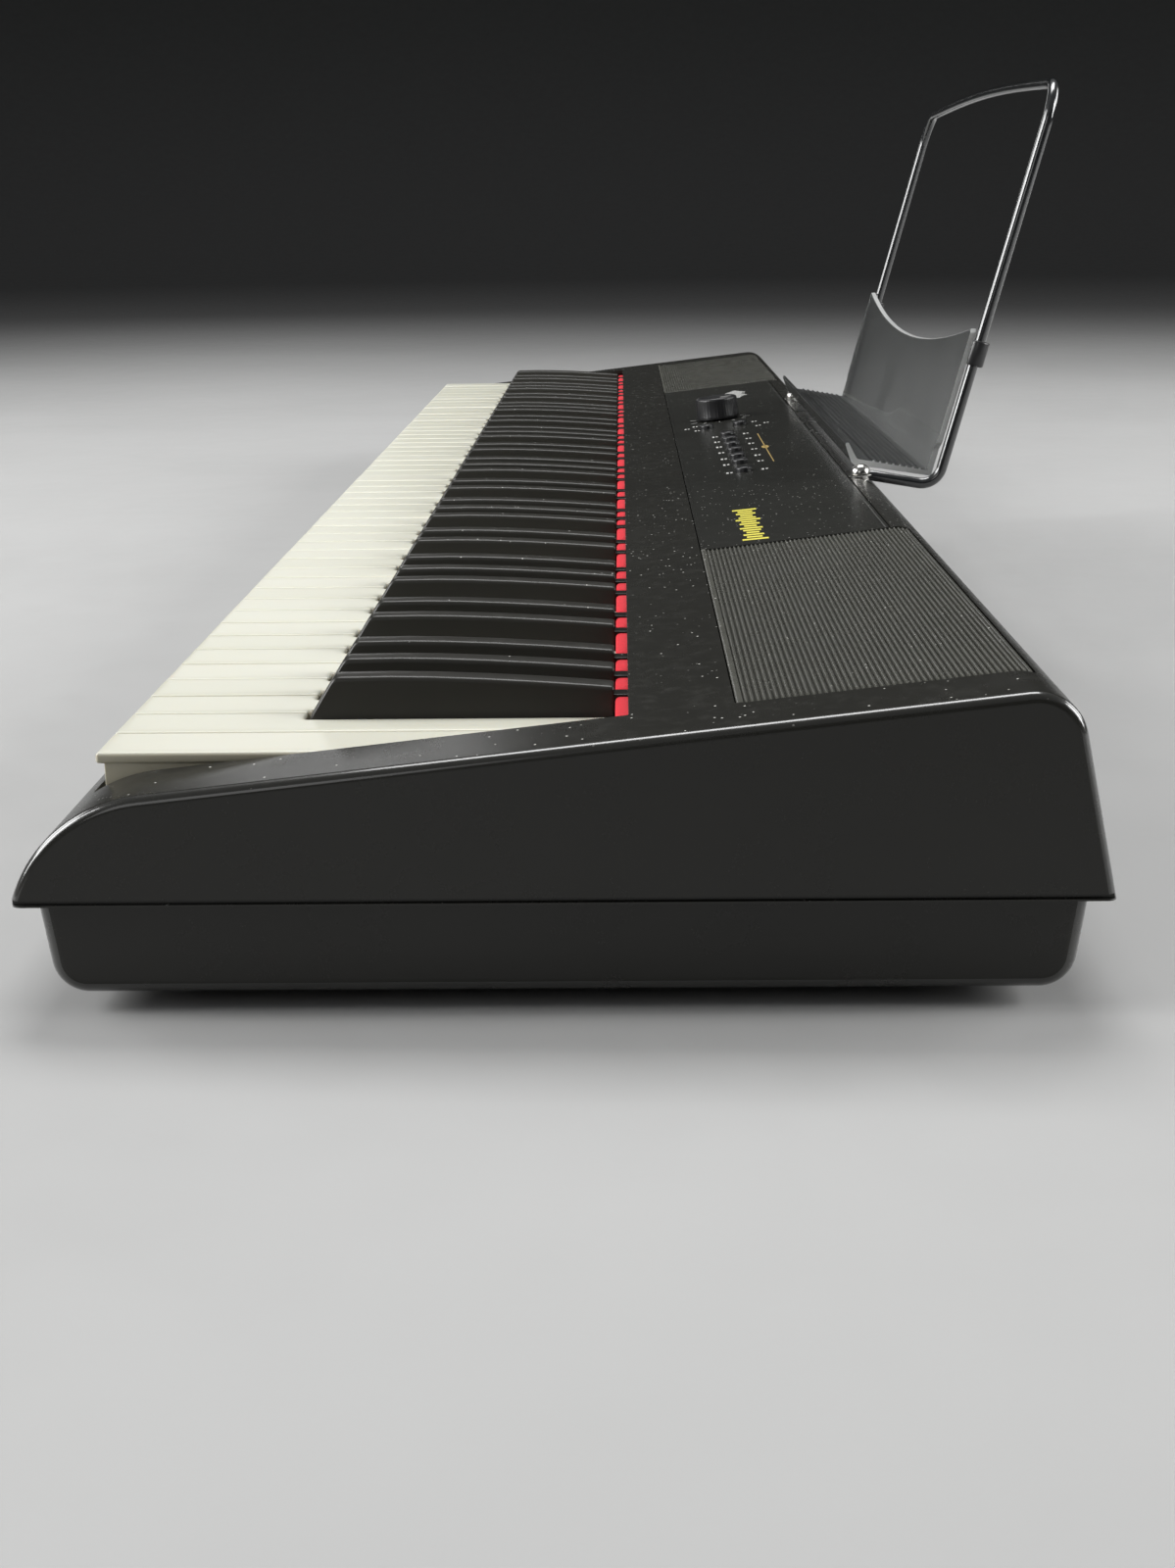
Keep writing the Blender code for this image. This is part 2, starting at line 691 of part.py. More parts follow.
def keybed_frame():
    """Chassis under the keys: floor plate, front key stop, and the rear rail of the combs."""
    floor, skin = -0.0340 + 0.0010, 0.0020
    outline = [
        (0.006, floor - skin), (0.176, floor - skin), (0.176, floor), (0.1725, floor),
        (0.1725, -0.0076), (0.1575, -0.0076), (0.1575, -0.0100), (0.1700, -0.0100),
        (0.1700, floor), (0.0140, floor), (0.0140, -0.0285), (0.0060, -0.0285),
    ]
    half = 0.5 * WHITE_COUNT * WHITE_PITCH - 0.001
    bm = prism(bmesh.new(), outline, "x", -half, half)
    add_part("keybed_frame", bm, "chassis_grey")


def contact_boards():
    """Long circuit board under the keys, and the rubber dome strip on it."""
    floor = -0.0330 + GAP
    half = 0.5 * WHITE_COUNT * WHITE_PITCH - 0.010
    bm = block(bmesh.new(), (-half, 0.060, floor), (half, 0.110, floor + 0.0016))
    add_part("key_contact_board", bm, "board_green")
    base = floor + 0.0016 + GAP
    outline = [
        (0.072, base), (0.100, base), (0.100, base + 0.0015), (0.092, base + 0.0015),
        (0.090, base + 0.0060), (0.082, base + 0.0060), (0.080, base + 0.0015), (0.072, base + 0.0015),
    ]
    bm = prism(bmesh.new(), outline, "x", -half + 0.005, half - 0.005)
    add_part("contact_rubber_strip", bm, "contact_grey")


def circuit_boards():
    """Main board on the tray with its components, and the control board under the fascia."""
    floor = TRAY_BOTTOM + CASE_WALL + GAP
    bm = block(bmesh.new(), (-0.185, 0.184, floor + 0.004), (0.060, 0.246, floor + 0.0056))
    board = add_part("main_board", bm, "board_green")
    bm = bmesh.new()
    block(bm, (-0.120, 0.200, floor + 0.005), (-0.095, 0.225, floor + 0.0085))
    block(bm, (-0.040, 0.195, floor + 0.005), (0.000, 0.205, floor + 0.0140))
    block(bm, (0.020, 0.215, floor + 0.005), (0.045, 0.235, floor + 0.0160))
    for x in (-0.180, 0.055):
        for y in (0.189, 0.241):
            drum(bm, 0.0028, (x, y, floor), (0, 0, 1), 0.005, 12)
    combine(board, add_cutter("main_board_fittings", bm), "UNION")

    drop = 0.0082
    start, end = 0.182, 0.236
    below = [(start, top_z(start) - drop), (end, top_z(end) - drop)]
    outline = below + [(end, top_z(end) - drop - 0.0016), (start, top_z(start) - drop - 0.0016)]
    bm = prism(bmesh.new(), outline, "x", -0.160, 0.150)
    add_part("panel_board", bm, "board_green")


def speakers():
    """Loudspeakers under the grilles: round frame, basket and magnet, cone open to the grille."""
    profile = [
        (0.0, -0.0170), (0.0090, -0.0180), (0.0310, -0.0040), (0.0360, -0.0040), (0.0360, -0.0062),
        (0.0315, -0.0062), (0.0190, -0.0210), (0.0190, -0.0330), (0.0, -0.0330),
    ]
    for name, side in (("speaker_treble", 1), ("speaker_bass", -1)):
        y = 0.2125
        base = Vector((side * 0.480, y, top_z(y)))
        bm = turned(bmesh.new(), profile, base, PANEL_NORMAL, 24)
        add_part(name, bm, "cone_paper", smooth=True)


def rear_sockets():
    """Sockets whose mouths come through the rear wall: power, two jacks and a square port."""
    mouth = REAR_FOOT.x - REAR_LEAN * (SOCKET_Z - REAR_FOOT.y) + 0.0004
    inner = 0.2555
    round_sockets = (
        ("power_inlet", POWER_X, 0.0030, 0.010),
        ("pedal_jack", PEDAL_X, 0.0032, 0.026),
        ("headphone_jack", PHONES_X, 0.0032, 0.026),
    )
    for name, x, bore, depth in round_sockets:
        bm = block(
            bmesh.new(), (x - 0.007, inner - 0.022, SOCKET_Z - 0.007), (x + 0.007, inner, SOCKET_Z + 0.007)
        )
        socket = add_part(name, bm, "nickel" if name != "power_inlet" else "control_black")
        bm = drum(bmesh.new(), 0.0052, (x, inner - 0.002, SOCKET_Z), (0, 1, 0), mouth - inner + 0.002, 16)
        combine(socket, add_cutter(name + "_nose", bm), "UNION")
        bm = drum(bmesh.new(), bore, (x, mouth - depth, SOCKET_Z), (0, 1, 0), depth + 0.002, 16)
        combine(socket, add_cutter(name + "_bore", bm), "DIFFERENCE")
        if name == "power_inlet":
            bm = drum(bmesh.new(), 0.0010, (x, mouth - depth - 0.002, SOCKET_Z), (0, 1, 0), depth, 12)
            combine(socket, add_cutter(name + "_pin", bm), "UNION")

    bm = block(
        bmesh.new(),
        (USB_X - 0.0060, inner - 0.010, SOCKET_Z - 0.0055),
        (USB_X + 0.0060, mouth, SOCKET_Z + 0.0055),
    )
    port = add_part("usb_port", bm, "nickel")
    bm = block(
        bmesh.new(),
        (USB_X - 0.0044, mouth - 0.012, SOCKET_Z - 0.0040),
        (USB_X + 0.0044, mouth + 0.002, SOCKET_Z + 0.0040),
    )
    combine(port, add_cutter("usb_port_mouth", bm), "DIFFERENCE")


# ---------------------------------------------------------------- music rest

def rest_y(z):
    """The y of the rest's leaning plane at height z."""
    return REST_ELBOW.x + REST_LEAN * (z - REST_ELBOW.y)


def rest_half_path():
    """Centre line of the treble half of the wire, from its pin up and over to the middle."""
    pin = Vector((REST_HOLE_Y, REST_PIN_BOTTOM))
    bend = Vector((REST_HOLE_Y, REST_BEND_Z))
    shoulder = Vector((rest_y(REST_TOP), REST_TOP))
    side = [pin] + fillet(pin, bend, REST_ELBOW, 0.0045, 4)
    side += fillet(bend, REST_ELBOW, shoulder, 0.009, 5)
    points = [Vector((REST_HALF, y, z)) for y, z in side]
    corner = Vector((REST_HALF, REST_TOP))
    below = corner - Vector((0.0, 0.1))
    middle = Vector((0.0, REST_TOP + REST_BOW))
    inner = corner + (middle - corner) * 0.5
    for x, z in fillet(below, corner, inner, REST_CORNER, 5):
        points.append(Vector((x, rest_y(z), z)))
    start = points[-1]
    for step in range(1, 6):
        share = step / 5
        z = start.z + (REST_TOP + REST_BOW - start.z) * math.sin(share * math.pi / 2)
        points.append(Vector((start.x * (1 - share), rest_y(z), z)))
    return points


def music_rest_frame():
    """One bent wire: pin, foot, elbow, upright, bowed top bar, and the same down again."""
    half = rest_half_path()
    other = [Vector((-point.x, point.y, point.z)) for point in reversed(half[:-1])]
    curve = bpy.data.curves.new("music_rest_wire", "CURVE")
    curve.dimensions = "3D"
    curve.bevel_depth = WIRE_RADIUS
    curve.bevel_resolution = 2
    curve.use_fill_caps = True
    line = curve.splines.new("POLY")
    path = half + other
    line.points.add(len(path) - 1)
    for point, place in zip(line.points, path):
        point.co = (*place, 1.0)
    wire = bpy.data.objects.new("music_rest_wire", curve)
    PARTS.objects.link(wire)
    bpy.context.view_layer.update()
    mesh = bpy.data.meshes.new_from_object(wire.evaluated_get(bpy.context.evaluated_depsgraph_get()))
    bm = bmesh.new()
    bm.from_mesh(mesh)
    bmesh.ops.remove_doubles(bm, verts=bm.verts, dist=1e-6)
    bmesh.ops.recalc_face_normals(bm, faces=bm.faces)
    bpy.data.objects.remove(wire)
    bpy.data.meshes.remove(mesh)
    add_part("music_rest_frame", bm, "wire_black", smooth=True)


def sheet_offset(distance):
    """Moves a y on the wire's centre plane forwards, square to the lean, by distance."""
    return distance * math.sqrt(1 + REST_LEAN**2)


def music_rest_panel():
    """Clear sheet against the wire, dished along its top, with a ribbed ledge and a front lip."""
    back = WIRE_RADIUS + GAP
    front = back + SHEET_THICKNESS
    arc_steps = 12
    top_line = []
    for step in range(arc_steps + 1):
        x = REST_HALF * (1 - 2 * step / arc_steps)
        top_line.append((x, SHEET_SIDE_TOP - SHEET_SAG * (1 - (x / REST_HALF) ** 2)))
    bottom, shoulder = SHEET_BOTTOM - 0.002, SHEET_BOTTOM + 0.010
    outline = [(-LEDGE_HALF, bottom), (LEDGE_HALF, bottom), (LEDGE_HALF, shoulder)]
    outline += [(REST_HALF, shoulder + 0.003)] + top_line
    outline += [(-REST_HALF, shoulder + 0.003), (-LEDGE_HALF, shoulder)]
    bm = bmesh.new()
    near = [bm.verts.new((x, rest_y(z) - sheet_offset(front), z)) for x, z in outline]
    face = bm.faces.new(near)
    grown = bmesh.ops.extrude_face_region(bm, geom=[face])
    verts = [item for item in grown["geom"] if isinstance(item, bmesh.types.BMVert)]
    bmesh.ops.translate(bm, verts=verts, vec=(0.0, sheet_offset(SHEET_THICKNESS), 0.0))
    bmesh.ops.recalc_face_normals(bm, faces=bm.faces)
    panel = add_part("music_rest_panel", bm, "smoked_clear")

    root = Vector((rest_y(SHEET_BOTTOM) - sheet_offset(front) + 0.0012, SHEET_BOTTOM))
    tip = Vector((LEDGE_FRONT, SHEET_BOTTOM + LEDGE_RISE))
    along = (tip - root).normalized()
    up = Vector((along.y, -along.x))
    top = [root]
    ribs = 8
    for rib in range(ribs):
        at = root + along * (0.004 + 0.003 * rib)
        top += [at, at + along * 0.0005 + up * 0.0007, at + along * 0.0010]
    lip = Vector((tip.x - 0.0035, tip.y + LIP_HEIGHT))
    top += [tip, lip, lip - Vector((0.0018, 0.0004))]
    outer = tip - up * SHEET_THICKNESS - Vector((0.0020, 0.0))
    outline = top + [outer + up * 0.0006, outer - along * 0.0012, root - up * 0.0021]
    bm = prism(bmesh.new(), outline, "x", -LEDGE_HALF, LEDGE_HALF)
    combine(panel, add_cutter("rest_ledge", bm), "UNION")


def rest_clips():
    """Moulded hooks that hold the clear sheet to the wire, open towards the sheet."""
    inner, outer = WIRE_RADIUS + GAP, WIRE_RADIUS + 0.0019
    lean = math.atan(REST_LEAN)
    for name, side in (("rest_clip_treble", 1), ("rest_clip_bass", -1)):
        ring = arc(Vector((0.0, 0.0)), outer, math.radians(-40), math.radians(220), 10)
        ring += arc(Vector((0.0, 0.0)), inner, math.radians(220), math.radians(-40), 10)
        bm = prism(bmesh.new(), ring, "z", -CLIP_LENGTH / 2, CLIP_LENGTH / 2)
        tilt = Matrix.Rotation(-lean, 4, "X")
        place = Matrix.Translation((side * REST_HALF, rest_y(CLIP_Z), CLIP_Z))
        bmesh.ops.transform(bm, matrix=place @ tilt, verts=bm.verts)
        add_part(name, bm, "control_black", smooth=True)


def rest_sockets():
    """Sleeves in the case that take the two feet of the wire."""
    profile = [(0.0038, 0.0), (0.0038, 0.0125), (0.0029, 0.0125), (0.0029, 0.0)]
    for name, side in (("rest_socket_treble", 1), ("rest_socket_bass", -1)):
        base = (side * REST_HALF, REST_HOLE_Y, 0.0035)
        bm = turned(bmesh.new(), profile, base, (0, 0, 1), 16)
        add_part(name, bm, "nickel", smooth=True)


clear_scene()
PARTS = new_collection(OBJECT_NAME)
CUTTERS = new_collection(CUTTERS_NAME)
MATERIALS = make_materials()
upper_case()
lower_case()
rubber_feet()
felt_strip()
speaker_grille("speaker_grille_treble", 1)
speaker_grille("speaker_grille_bass", -1)
control_panel()
buttons()
volume_knob()
keybed_frame()
contact_boards()
circuit_boards()
speakers()
rear_sockets()
key_combs()
music_rest_frame()
music_rest_panel()
rest_clips()
rest_sockets()
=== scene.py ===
"""Looks of the 88-key stage piano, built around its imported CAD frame.

Lengths are metres. Pieces are drawn in key coordinates: x runs along the keyboard to the treble
end, y runs back from the front lip of the white keys, and z rises from their top face. ORIGIN
carries key coordinates to the frame's own.
"""

import math
import random

import bmesh
import bpy
from mathutils import Matrix, Vector


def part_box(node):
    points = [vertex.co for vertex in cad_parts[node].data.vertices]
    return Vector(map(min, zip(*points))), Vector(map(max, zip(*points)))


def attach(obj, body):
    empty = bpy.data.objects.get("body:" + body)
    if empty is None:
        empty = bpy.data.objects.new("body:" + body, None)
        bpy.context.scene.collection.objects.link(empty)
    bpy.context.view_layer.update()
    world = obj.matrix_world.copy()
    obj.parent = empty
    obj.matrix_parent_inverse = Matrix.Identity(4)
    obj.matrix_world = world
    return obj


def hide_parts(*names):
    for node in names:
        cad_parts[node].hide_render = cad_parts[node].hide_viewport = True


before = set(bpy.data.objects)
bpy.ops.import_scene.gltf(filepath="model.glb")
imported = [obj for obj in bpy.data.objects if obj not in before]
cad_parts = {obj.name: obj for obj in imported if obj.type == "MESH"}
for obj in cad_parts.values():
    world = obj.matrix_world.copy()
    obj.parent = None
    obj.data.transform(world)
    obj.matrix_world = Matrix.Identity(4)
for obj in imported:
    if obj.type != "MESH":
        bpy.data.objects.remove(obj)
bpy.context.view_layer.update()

# ---- sizes, in key coordinates

WHITE_PITCH = 0.0235
WHITE_COUNT = 52
WHITE_GAP = 0.0009
KEY_REAR = 0.15
WHITE_DEPTH = 0.015
NOTCH_FRONT = 0.051
NOTCH_HALF = 0.0066
BLACK_HALF_BASE = 0.0055
BLACK_HALF_TOP = 0.0046
BLACK_FRONT = 0.0525
BLACK_REAR = 0.139
BLACK_BOTTOM = -0.009
TAIL_HALF = 0.0034
TAIL_TOP = 0.0056
FELT_FRONT, FELT_REAR = 0.1394, 0.1485
WHITE_NAMES = "CDEFGAB"
BLACK_SHIFT = {"C": -0.002, "D": 0.002, "F": -0.0026, "G": 0.0, "A": 0.002}
FIRST_WHITE = 5
OCTAVES = 7

CASE_HALF = 0.64
CASE_WALL = 0.0026
CASE_EDGE = 0.0028
CHEEK_START = 0.5 * WHITE_COUNT * WHITE_PITCH + 0.003
SLOT_HALF = 0.5 * WHITE_COUNT * WHITE_PITCH + 0.0008
SLOT_FRONT = -0.0008
SLOT_REAR = 0.143
SEAM = -0.034
LIP_Z = -0.032
NOSE_CENTRE = Vector((0.0216, -0.0458))
NOSE_RADIUS = 0.0415
TOP_SLOPE = 0.1112
TOP_LEVEL = -0.00638
REAR_FOOT = Vector((0.268, -0.032))
REAR_LEAN = 0.21
REAR_RADIUS = 0.014
TRAY_HALF = 0.635
TRAY_FRONT = -0.013
TRAY_REAR = 0.2632
TRAY_TAPER = 0.0042
TRAY_BOTTOM = -0.0602
TRAY_RADIUS = 0.01
TRAY_RIM = -0.031
TRAY_EDGE = 0.0045
FOOT_RADIUS = 0.011
FIT = 0.0004

INSET_FRONT = 0.1715
INSET_THICKNESS = 0.0022
GRILLE_REAR = 0.25
GRILLE_INNER = 0.3505
GRILLE_OUTER = 0.6125
RIB_COUNT = 47
PANEL_HALF = 0.35
PANEL_REAR = 0.243

BUTTON_X = (-0.035, -0.009, 0.016, 0.043, 0.071, 0.096, 0.129)
BUTTON_Y = 0.2
SIDE_BUTTON_X = -0.084
SIDE_BUTTON_Y = (0.1905, 0.2095)
BUTTON_RADIUS = 0.004
BUTTON_HEIGHT = 0.0022
KNOB_X, KNOB_Y = -0.13, 0.199
KNOB_RADIUS = 0.0125
KNOB_HEIGHT = 0.013

WIRE_RADIUS = 0.0025
REST_HALF = 0.197
REST_HOLE_Y = 0.2485
REST_PIN_BOTTOM = 0.006
REST_BEND_Z = 0.0222
REST_ELBOW = Vector((0.2822, 0.0164))
REST_LEAN = 0.275
REST_TOP = 0.188
REST_BOW = 0.004
REST_CORNER = 0.018
SHEET_THICKNESS = 0.0025
SHEET_BOTTOM = 0.0227
SHEET_SIDE_TOP = 0.0853
SHEET_SAG = 0.0135
LEDGE_HALF = 0.1935
LEDGE_FRONT = 0.247
LEDGE_RISE = 0.0057
LIP_HEIGHT = 0.0066
CLIP_Z = 0.0745
CLIP_LENGTH = 0.011

SOCKET_Z = -0.015
POWER_X, USB_X, PEDAL_X, PHONES_X = -0.15, -0.115, -0.08, -0.045

case_low, case_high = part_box("upper_case")
nose_front = NOSE_CENTRE.x - math.sqrt(NOSE_RADIUS**2 - (LIP_Z - NOSE_CENTRE.y) ** 2)
ORIGIN = Vector((
    0.5 * (case_low.x + case_high.x), case_low.y - nose_front, case_low.z - SEAM
))

# Depth below the dished top edge where the sheet's painted edge highlight begins.
SAWN_EDGE_HIGHLIGHT_DEPTH = 0.004
SHEET_EDGE_Z = ORIGIN.z + SHEET_SIDE_TOP - SHEET_SAG - SAWN_EDGE_HIGHLIGHT_DEPTH

TOP_DIRECTION = Vector((1.0, TOP_SLOPE)).normalized()
TOP_NORMAL = Vector((-TOP_DIRECTION.y, TOP_DIRECTION.x))
PANEL_ALONG = Vector((0.0, TOP_DIRECTION.x, TOP_DIRECTION.y))
PANEL_NORMAL = Vector((0.0, TOP_NORMAL.x, TOP_NORMAL.y))
ACROSS = Vector((1.0, 0.0, 0.0))


# ---- outlines

def arc(centre, radius, start, end, steps):
    angles = [start + (end - start) * i / steps for i in range(steps + 1)]
    return [centre + radius * Vector((math.cos(a), math.sin(a))) for a in angles]


def circle(count):
    """Cosines and sines of count angles, evenly round."""
    return [(math.cos(a), math.sin(a)) for a in (2 * math.pi * k / count for k in range(count))]


def fillet(before, corner, after, radius, steps):
    """The arc that rounds a corner between two straight lines."""
    back = (before - corner).normalized()
    ahead = (after - corner).normalized()
    half = back.angle(ahead) / 2
    centre = corner + (back + ahead).normalized() * radius / math.sin(half)
    first = corner + back * radius / math.tan(half) - centre
    last = corner + ahead * radius / math.tan(half) - centre
    start = math.atan2(first.y, first.x)
    sweep = math.remainder(math.atan2(last.y, last.x) - start, 2 * math.pi)
    return arc(centre, radius, start, start + sweep, steps)


def rounded(points, radius, steps=4):
    """A closed outline with all its corners rounded."""
    points = [Vector(point) for point in points]
    made = []
    for i, corner in enumerate(points):
        before, after = points[i - 1], points[(i + 1) % len(points)]
        room = 0.45 * min((corner - before).length, (after - corner).length)
        made += fillet(before, corner, after, min(radius, room), steps)
    return made


def rounded_box(left, right, front, rear, radius, steps):
    return rounded([(left, front), (right, front), (right, rear), (left, rear)], radius, steps)


def inset_loop(points, distance):
    """A closed anticlockwise outline moved inwards, mitred at its corners."""
    made = []
    for i, here in enumerate(points):
        first = (here - points[i - 1]).normalized()
        second = (points[(i + 1) % len(points)] - here).normalized()
        normal = Vector((-first.y, first.x))
        middle = (normal + Vector((-second.y, second.x))).normalized()
        made.append(here + middle * distance / max(middle.dot(normal), 0.35))
    return made


def rounded_inset(points, radius, distance, steps=4):
    """A sharp anticlockwise outline moved inwards, its corners rounded to stay concentric."""
    moved = inset_loop(points, distance)
    made = []
    for i, corner in enumerate(moved):
        before, after = moved[i - 1], moved[(i + 1) % len(moved)]
        convex = (corner - before).cross(after - corner) > 0
        wanted = max(radius - distance, 0.00012) if convex else radius + distance
        room = 0.45 * min((corner - before).length, (after - corner).length)
        made += fillet(before, corner, after, min(wanted, room), steps)
    return made


def top_z(y):
    return TOP_SLOPE * y + TOP_LEVEL


def rear_arc(inset, steps):
    rear_direction = Vector((-REAR_LEAN, 1.0)).normalized()
    rear_normal = Vector((rear_direction.y, -rear_direction.x))
    top_point = Vector((0.0, TOP_LEVEL)) - TOP_NORMAL * inset
    gap = REAR_FOOT - rear_normal * inset - top_point
    along = gap.cross(rear_direction) / TOP_DIRECTION.cross(rear_direction)
    corner = top_point + TOP_DIRECTION * along
    return fillet(corner - TOP_DIRECTION, corner, corner - rear_direction, REAR_RADIUS - inset, steps)


def case_profile(inset, bottom, nose_steps=30, rear_steps=14):
    """The upper shell's outline from its front lip over the top to the rear, moved in by inset."""
    radius = NOSE_RADIUS - inset
    lip_z = max(LIP_Z, bottom)
    lip_angle = math.pi - math.asin((lip_z - NOSE_CENTRE.y) / radius)
    top_angle = math.atan2(TOP_NORMAL.y, TOP_NORMAL.x)
    nose = arc(NOSE_CENTRE, radius, lip_angle, top_angle, nose_steps)
    if bottom < lip_z:
        nose.insert(0, Vector((nose[0].x, bottom)))
    foot = Vector((REAR_FOOT.x - inset * 1.02 - REAR_LEAN * (bottom - REAR_FOOT.y), bottom))
    return nose + rear_arc(inset, rear_steps) + [foot]


def top_surface(length):
    """Point and outward normal on the top, at an arc length behind the insets' front edge."""
    start = Vector((INSET_FRONT, top_z(INSET_FRONT)))
    bend = rear_arc(0.0, 2)
    straight = (bend[0] - start).length
    if length <= straight:
        return start + TOP_DIRECTION * length, TOP_NORMAL
    centre = bend[0] - TOP_NORMAL * REAR_RADIUS
    normal = TOP_NORMAL.copy()
    normal.rotate(Matrix.Rotation(-(length - straight) / REAR_RADIUS, 2))
    return centre + normal * REAR_RADIUS, normal


def inset_length(rear):
    """Arc length of an inset whose rear edge lies at y = rear."""
    length = 0.0
    while top_surface(length)[0].x < rear:
        length += 0.0001
    return length


def on_top(length, height):
    """The point that stands height off the top, at an arc length behind the insets' front edge."""
    point, normal = top_surface(length)
    return point + normal * height


def panel_point(x, y, lift=0.0):
    return Vector((x, y, top_z(y))) + PANEL_NORMAL * lift


def tray_outline(inset):
    front_top = Vector((TRAY_FRONT + inset, TRAY_RIM))
    front_low = Vector((TRAY_FRONT + TRAY_TAPER + inset, TRAY_BOTTOM + inset))
    rear_low = Vector((TRAY_REAR - TRAY_TAPER - inset, TRAY_BOTTOM + inset))
    rear_top = Vector((TRAY_REAR - inset, TRAY_RIM))
    radius = TRAY_RADIUS - inset
    points = [front_top]
    points += fillet(front_top, front_low, rear_low, radius, 12)
    points += fillet(front_low, rear_low, rear_top, radius, 12)
    return points + [rear_top]


# ---- mesh helpers

def prism(bm, outline, axis, low, high):
    """Extrudes a closed outline of (u, v) points from low to high along axis, x or z."""
    def place(u, v, level):
        return Vector((level, u, v)) if axis == "x" else Vector((u, v, level))

    face = bm.faces.new([bm.verts.new(place(u, v, low)) for u, v in outline])
    grown = bmesh.ops.extrude_face_region(bm, geom=[face])
    verts = [item for item in grown["geom"] if isinstance(item, bmesh.types.BMVert)]
    bmesh.ops.translate(bm, verts=verts, vec=place(0.0, 0.0, high - low))
    bmesh.ops.recalc_face_normals(bm, faces=bm.faces)
    return bm


def block(bm, low, high):
    low, high = Vector(low), Vector(high)
    matrix = Matrix.Translation((low + high) / 2) @ Matrix.Diagonal((*(high - low), 1.0))
    bmesh.ops.create_cube(bm, size=1.0, matrix=matrix)
    return bm


def round_edges(bm, edges, width, segments, clamp=False):
    bmesh.ops.bevel(
        bm, geom=edges, offset=width, segments=segments, profile=0.5, affect="EDGES", clamp_overlap=clamp
    )
    return bm


def soft_block(bm, low, high, radius, segments=3):
    """A block with all its edges rounded."""
    piece = block(bmesh.new(), low, high)
    return merge(bm, round_edges(piece, list(piece.edges), radius, segments))


def round_ends(bm, width, wanted):
    """Rounds the edges in the planes of both ends, where their heights satisfy wanted."""
    edges = [
        edge for edge in bm.edges
        if abs(edge.verts[0].co.x - edge.verts[1].co.x) < 1e-6
        and wanted([vert.co.z for vert in edge.verts])
    ]
    return round_edges(bm, edges, width, 6)


def merge(bm, piece):
    holder = bpy.data.meshes.new("holder")
    piece.to_mesh(holder)
    piece.free()
    bm.from_mesh(holder)
    bpy.data.meshes.remove(holder)
    return bm


def axis_matrix(base, axis):
    turn = Vector(axis).normalized().to_track_quat("Z", "Y").to_matrix().to_4x4()
    return Matrix.Translation(Vector(base)) @ turn


def drum(bm, radius, base, axis, length, segments=40):
    matrix = axis_matrix(base, axis) @ Matrix.Translation((0.0, 0.0, length / 2))
    bmesh.ops.create_cone(
        bm, cap_ends=True, segments=segments, radius1=radius, radius2=radius, depth=length, matrix=matrix
    )
    return bm


def loft(bm, loops, close=False):
    """Joins closed loops of equal length with quads; caps both ends, or joins last to first."""
    rings = [[bm.verts.new(point) for point in loop] for loop in loops]
    pairs = list(zip(rings, rings[1:]))
    if close:
        pairs.append((rings[-1], rings[0]))
    for low, high in pairs:
        for i in range(len(low)):
            bm.faces.new((low[i - 1], low[i], high[i], high[i - 1]))
    if not close:
        bm.faces.new(list(reversed(rings[0])))
        bm.faces.new(rings[-1])
    bmesh.ops.recalc_face_normals(bm, faces=bm.faces)
    return bm


def turned(bm, profile, base, axis, segments=48, solid=False, wave=None):
    """Spins a half-profile of (radius, height) points, into a ring, or a solid with capped ends.

    wave(angle, i) scales the radius of point i.
    """
    place = axis_matrix(base, axis)
    angles = [2 * math.pi * step / segments for step in range(segments)]
    loops = []
    for i, (radius, height) in enumerate(profile):
        reach = [radius * (wave(a, i) if wave else 1.0) for a in angles]
        loops.append([
            place @ Vector((r * math.cos(a), r * math.sin(a), height)) for r, a in zip(reach, angles)
        ])
    return merge(bm, loft(bmesh.new(), loops, close=not solid))


def tube(bm, path, radius, sides):
    """A round bar along a path of points."""
    loops, side = [], None
    for i, here in enumerate(path):
        ahead = (path[min(i + 1, len(path) - 1)] - path[max(i - 1, 0)]).normalized()
        if side is None:
            side = ahead.orthogonal().normalized()
        side = (side - ahead * side.dot(ahead)).normalized()
        other = ahead.cross(side)
        loops.append([here + radius * (c * side + s * other) for c, s in circle(sides)])
    return merge(bm, loft(bmesh.new(), loops))


def linked(name, data):
    made = bpy.data.objects.new(name, data)
    bpy.context.scene.collection.objects.link(made)
    return made


def filled(name, bm, material=None):
    """A smooth-shaded mesh from bm, which is freed."""
    mesh = bpy.data.meshes.new(name)
    bm.to_mesh(mesh)
    bm.free()
    if material:
        mesh.shade_smooth()
        mesh.materials.append(material)
    return mesh


def shaped(target, cutters, operation="DIFFERENCE"):
    """target with each cutter cut away or joined on, as a new bmesh."""
    base = linked("temporary", filled("temporary", target))
    tools = [linked("temporary", filled("temporary", cutter)) for cutter in cutters]
    for tool in tools:
        step = base.modifiers.new("step", "BOOLEAN")
        step.operation, step.object, step.solver = operation, tool, "EXACT"
    bpy.context.view_layer.update()
    mesh = bpy.data.meshes.new_from_object(base.evaluated_get(bpy.context.evaluated_depsgraph_get()))
    made = bmesh.new()
    made.from_mesh(mesh)
    for thing in [base, *tools]:
        old = thing.data
        bpy.data.objects.remove(thing)
        bpy.data.meshes.remove(old)
    bpy.data.meshes.remove(mesh)
    return made


def soften(bm, width, inside):
    """Rounds the sharp edges whose ends satisfy inside."""
    bmesh.ops.dissolve_degenerate(bm, dist=1e-6, edges=bm.edges)
    edges = [
        edge for edge in bm.edges
        if len(edge.link_faces) == 2 and edge.calc_face_angle(0.0) > math.radians(45)
        and all(inside(vert.co) for vert in edge.verts)
    ]
    return round_edges(bm, edges, width, 2, clamp=True)


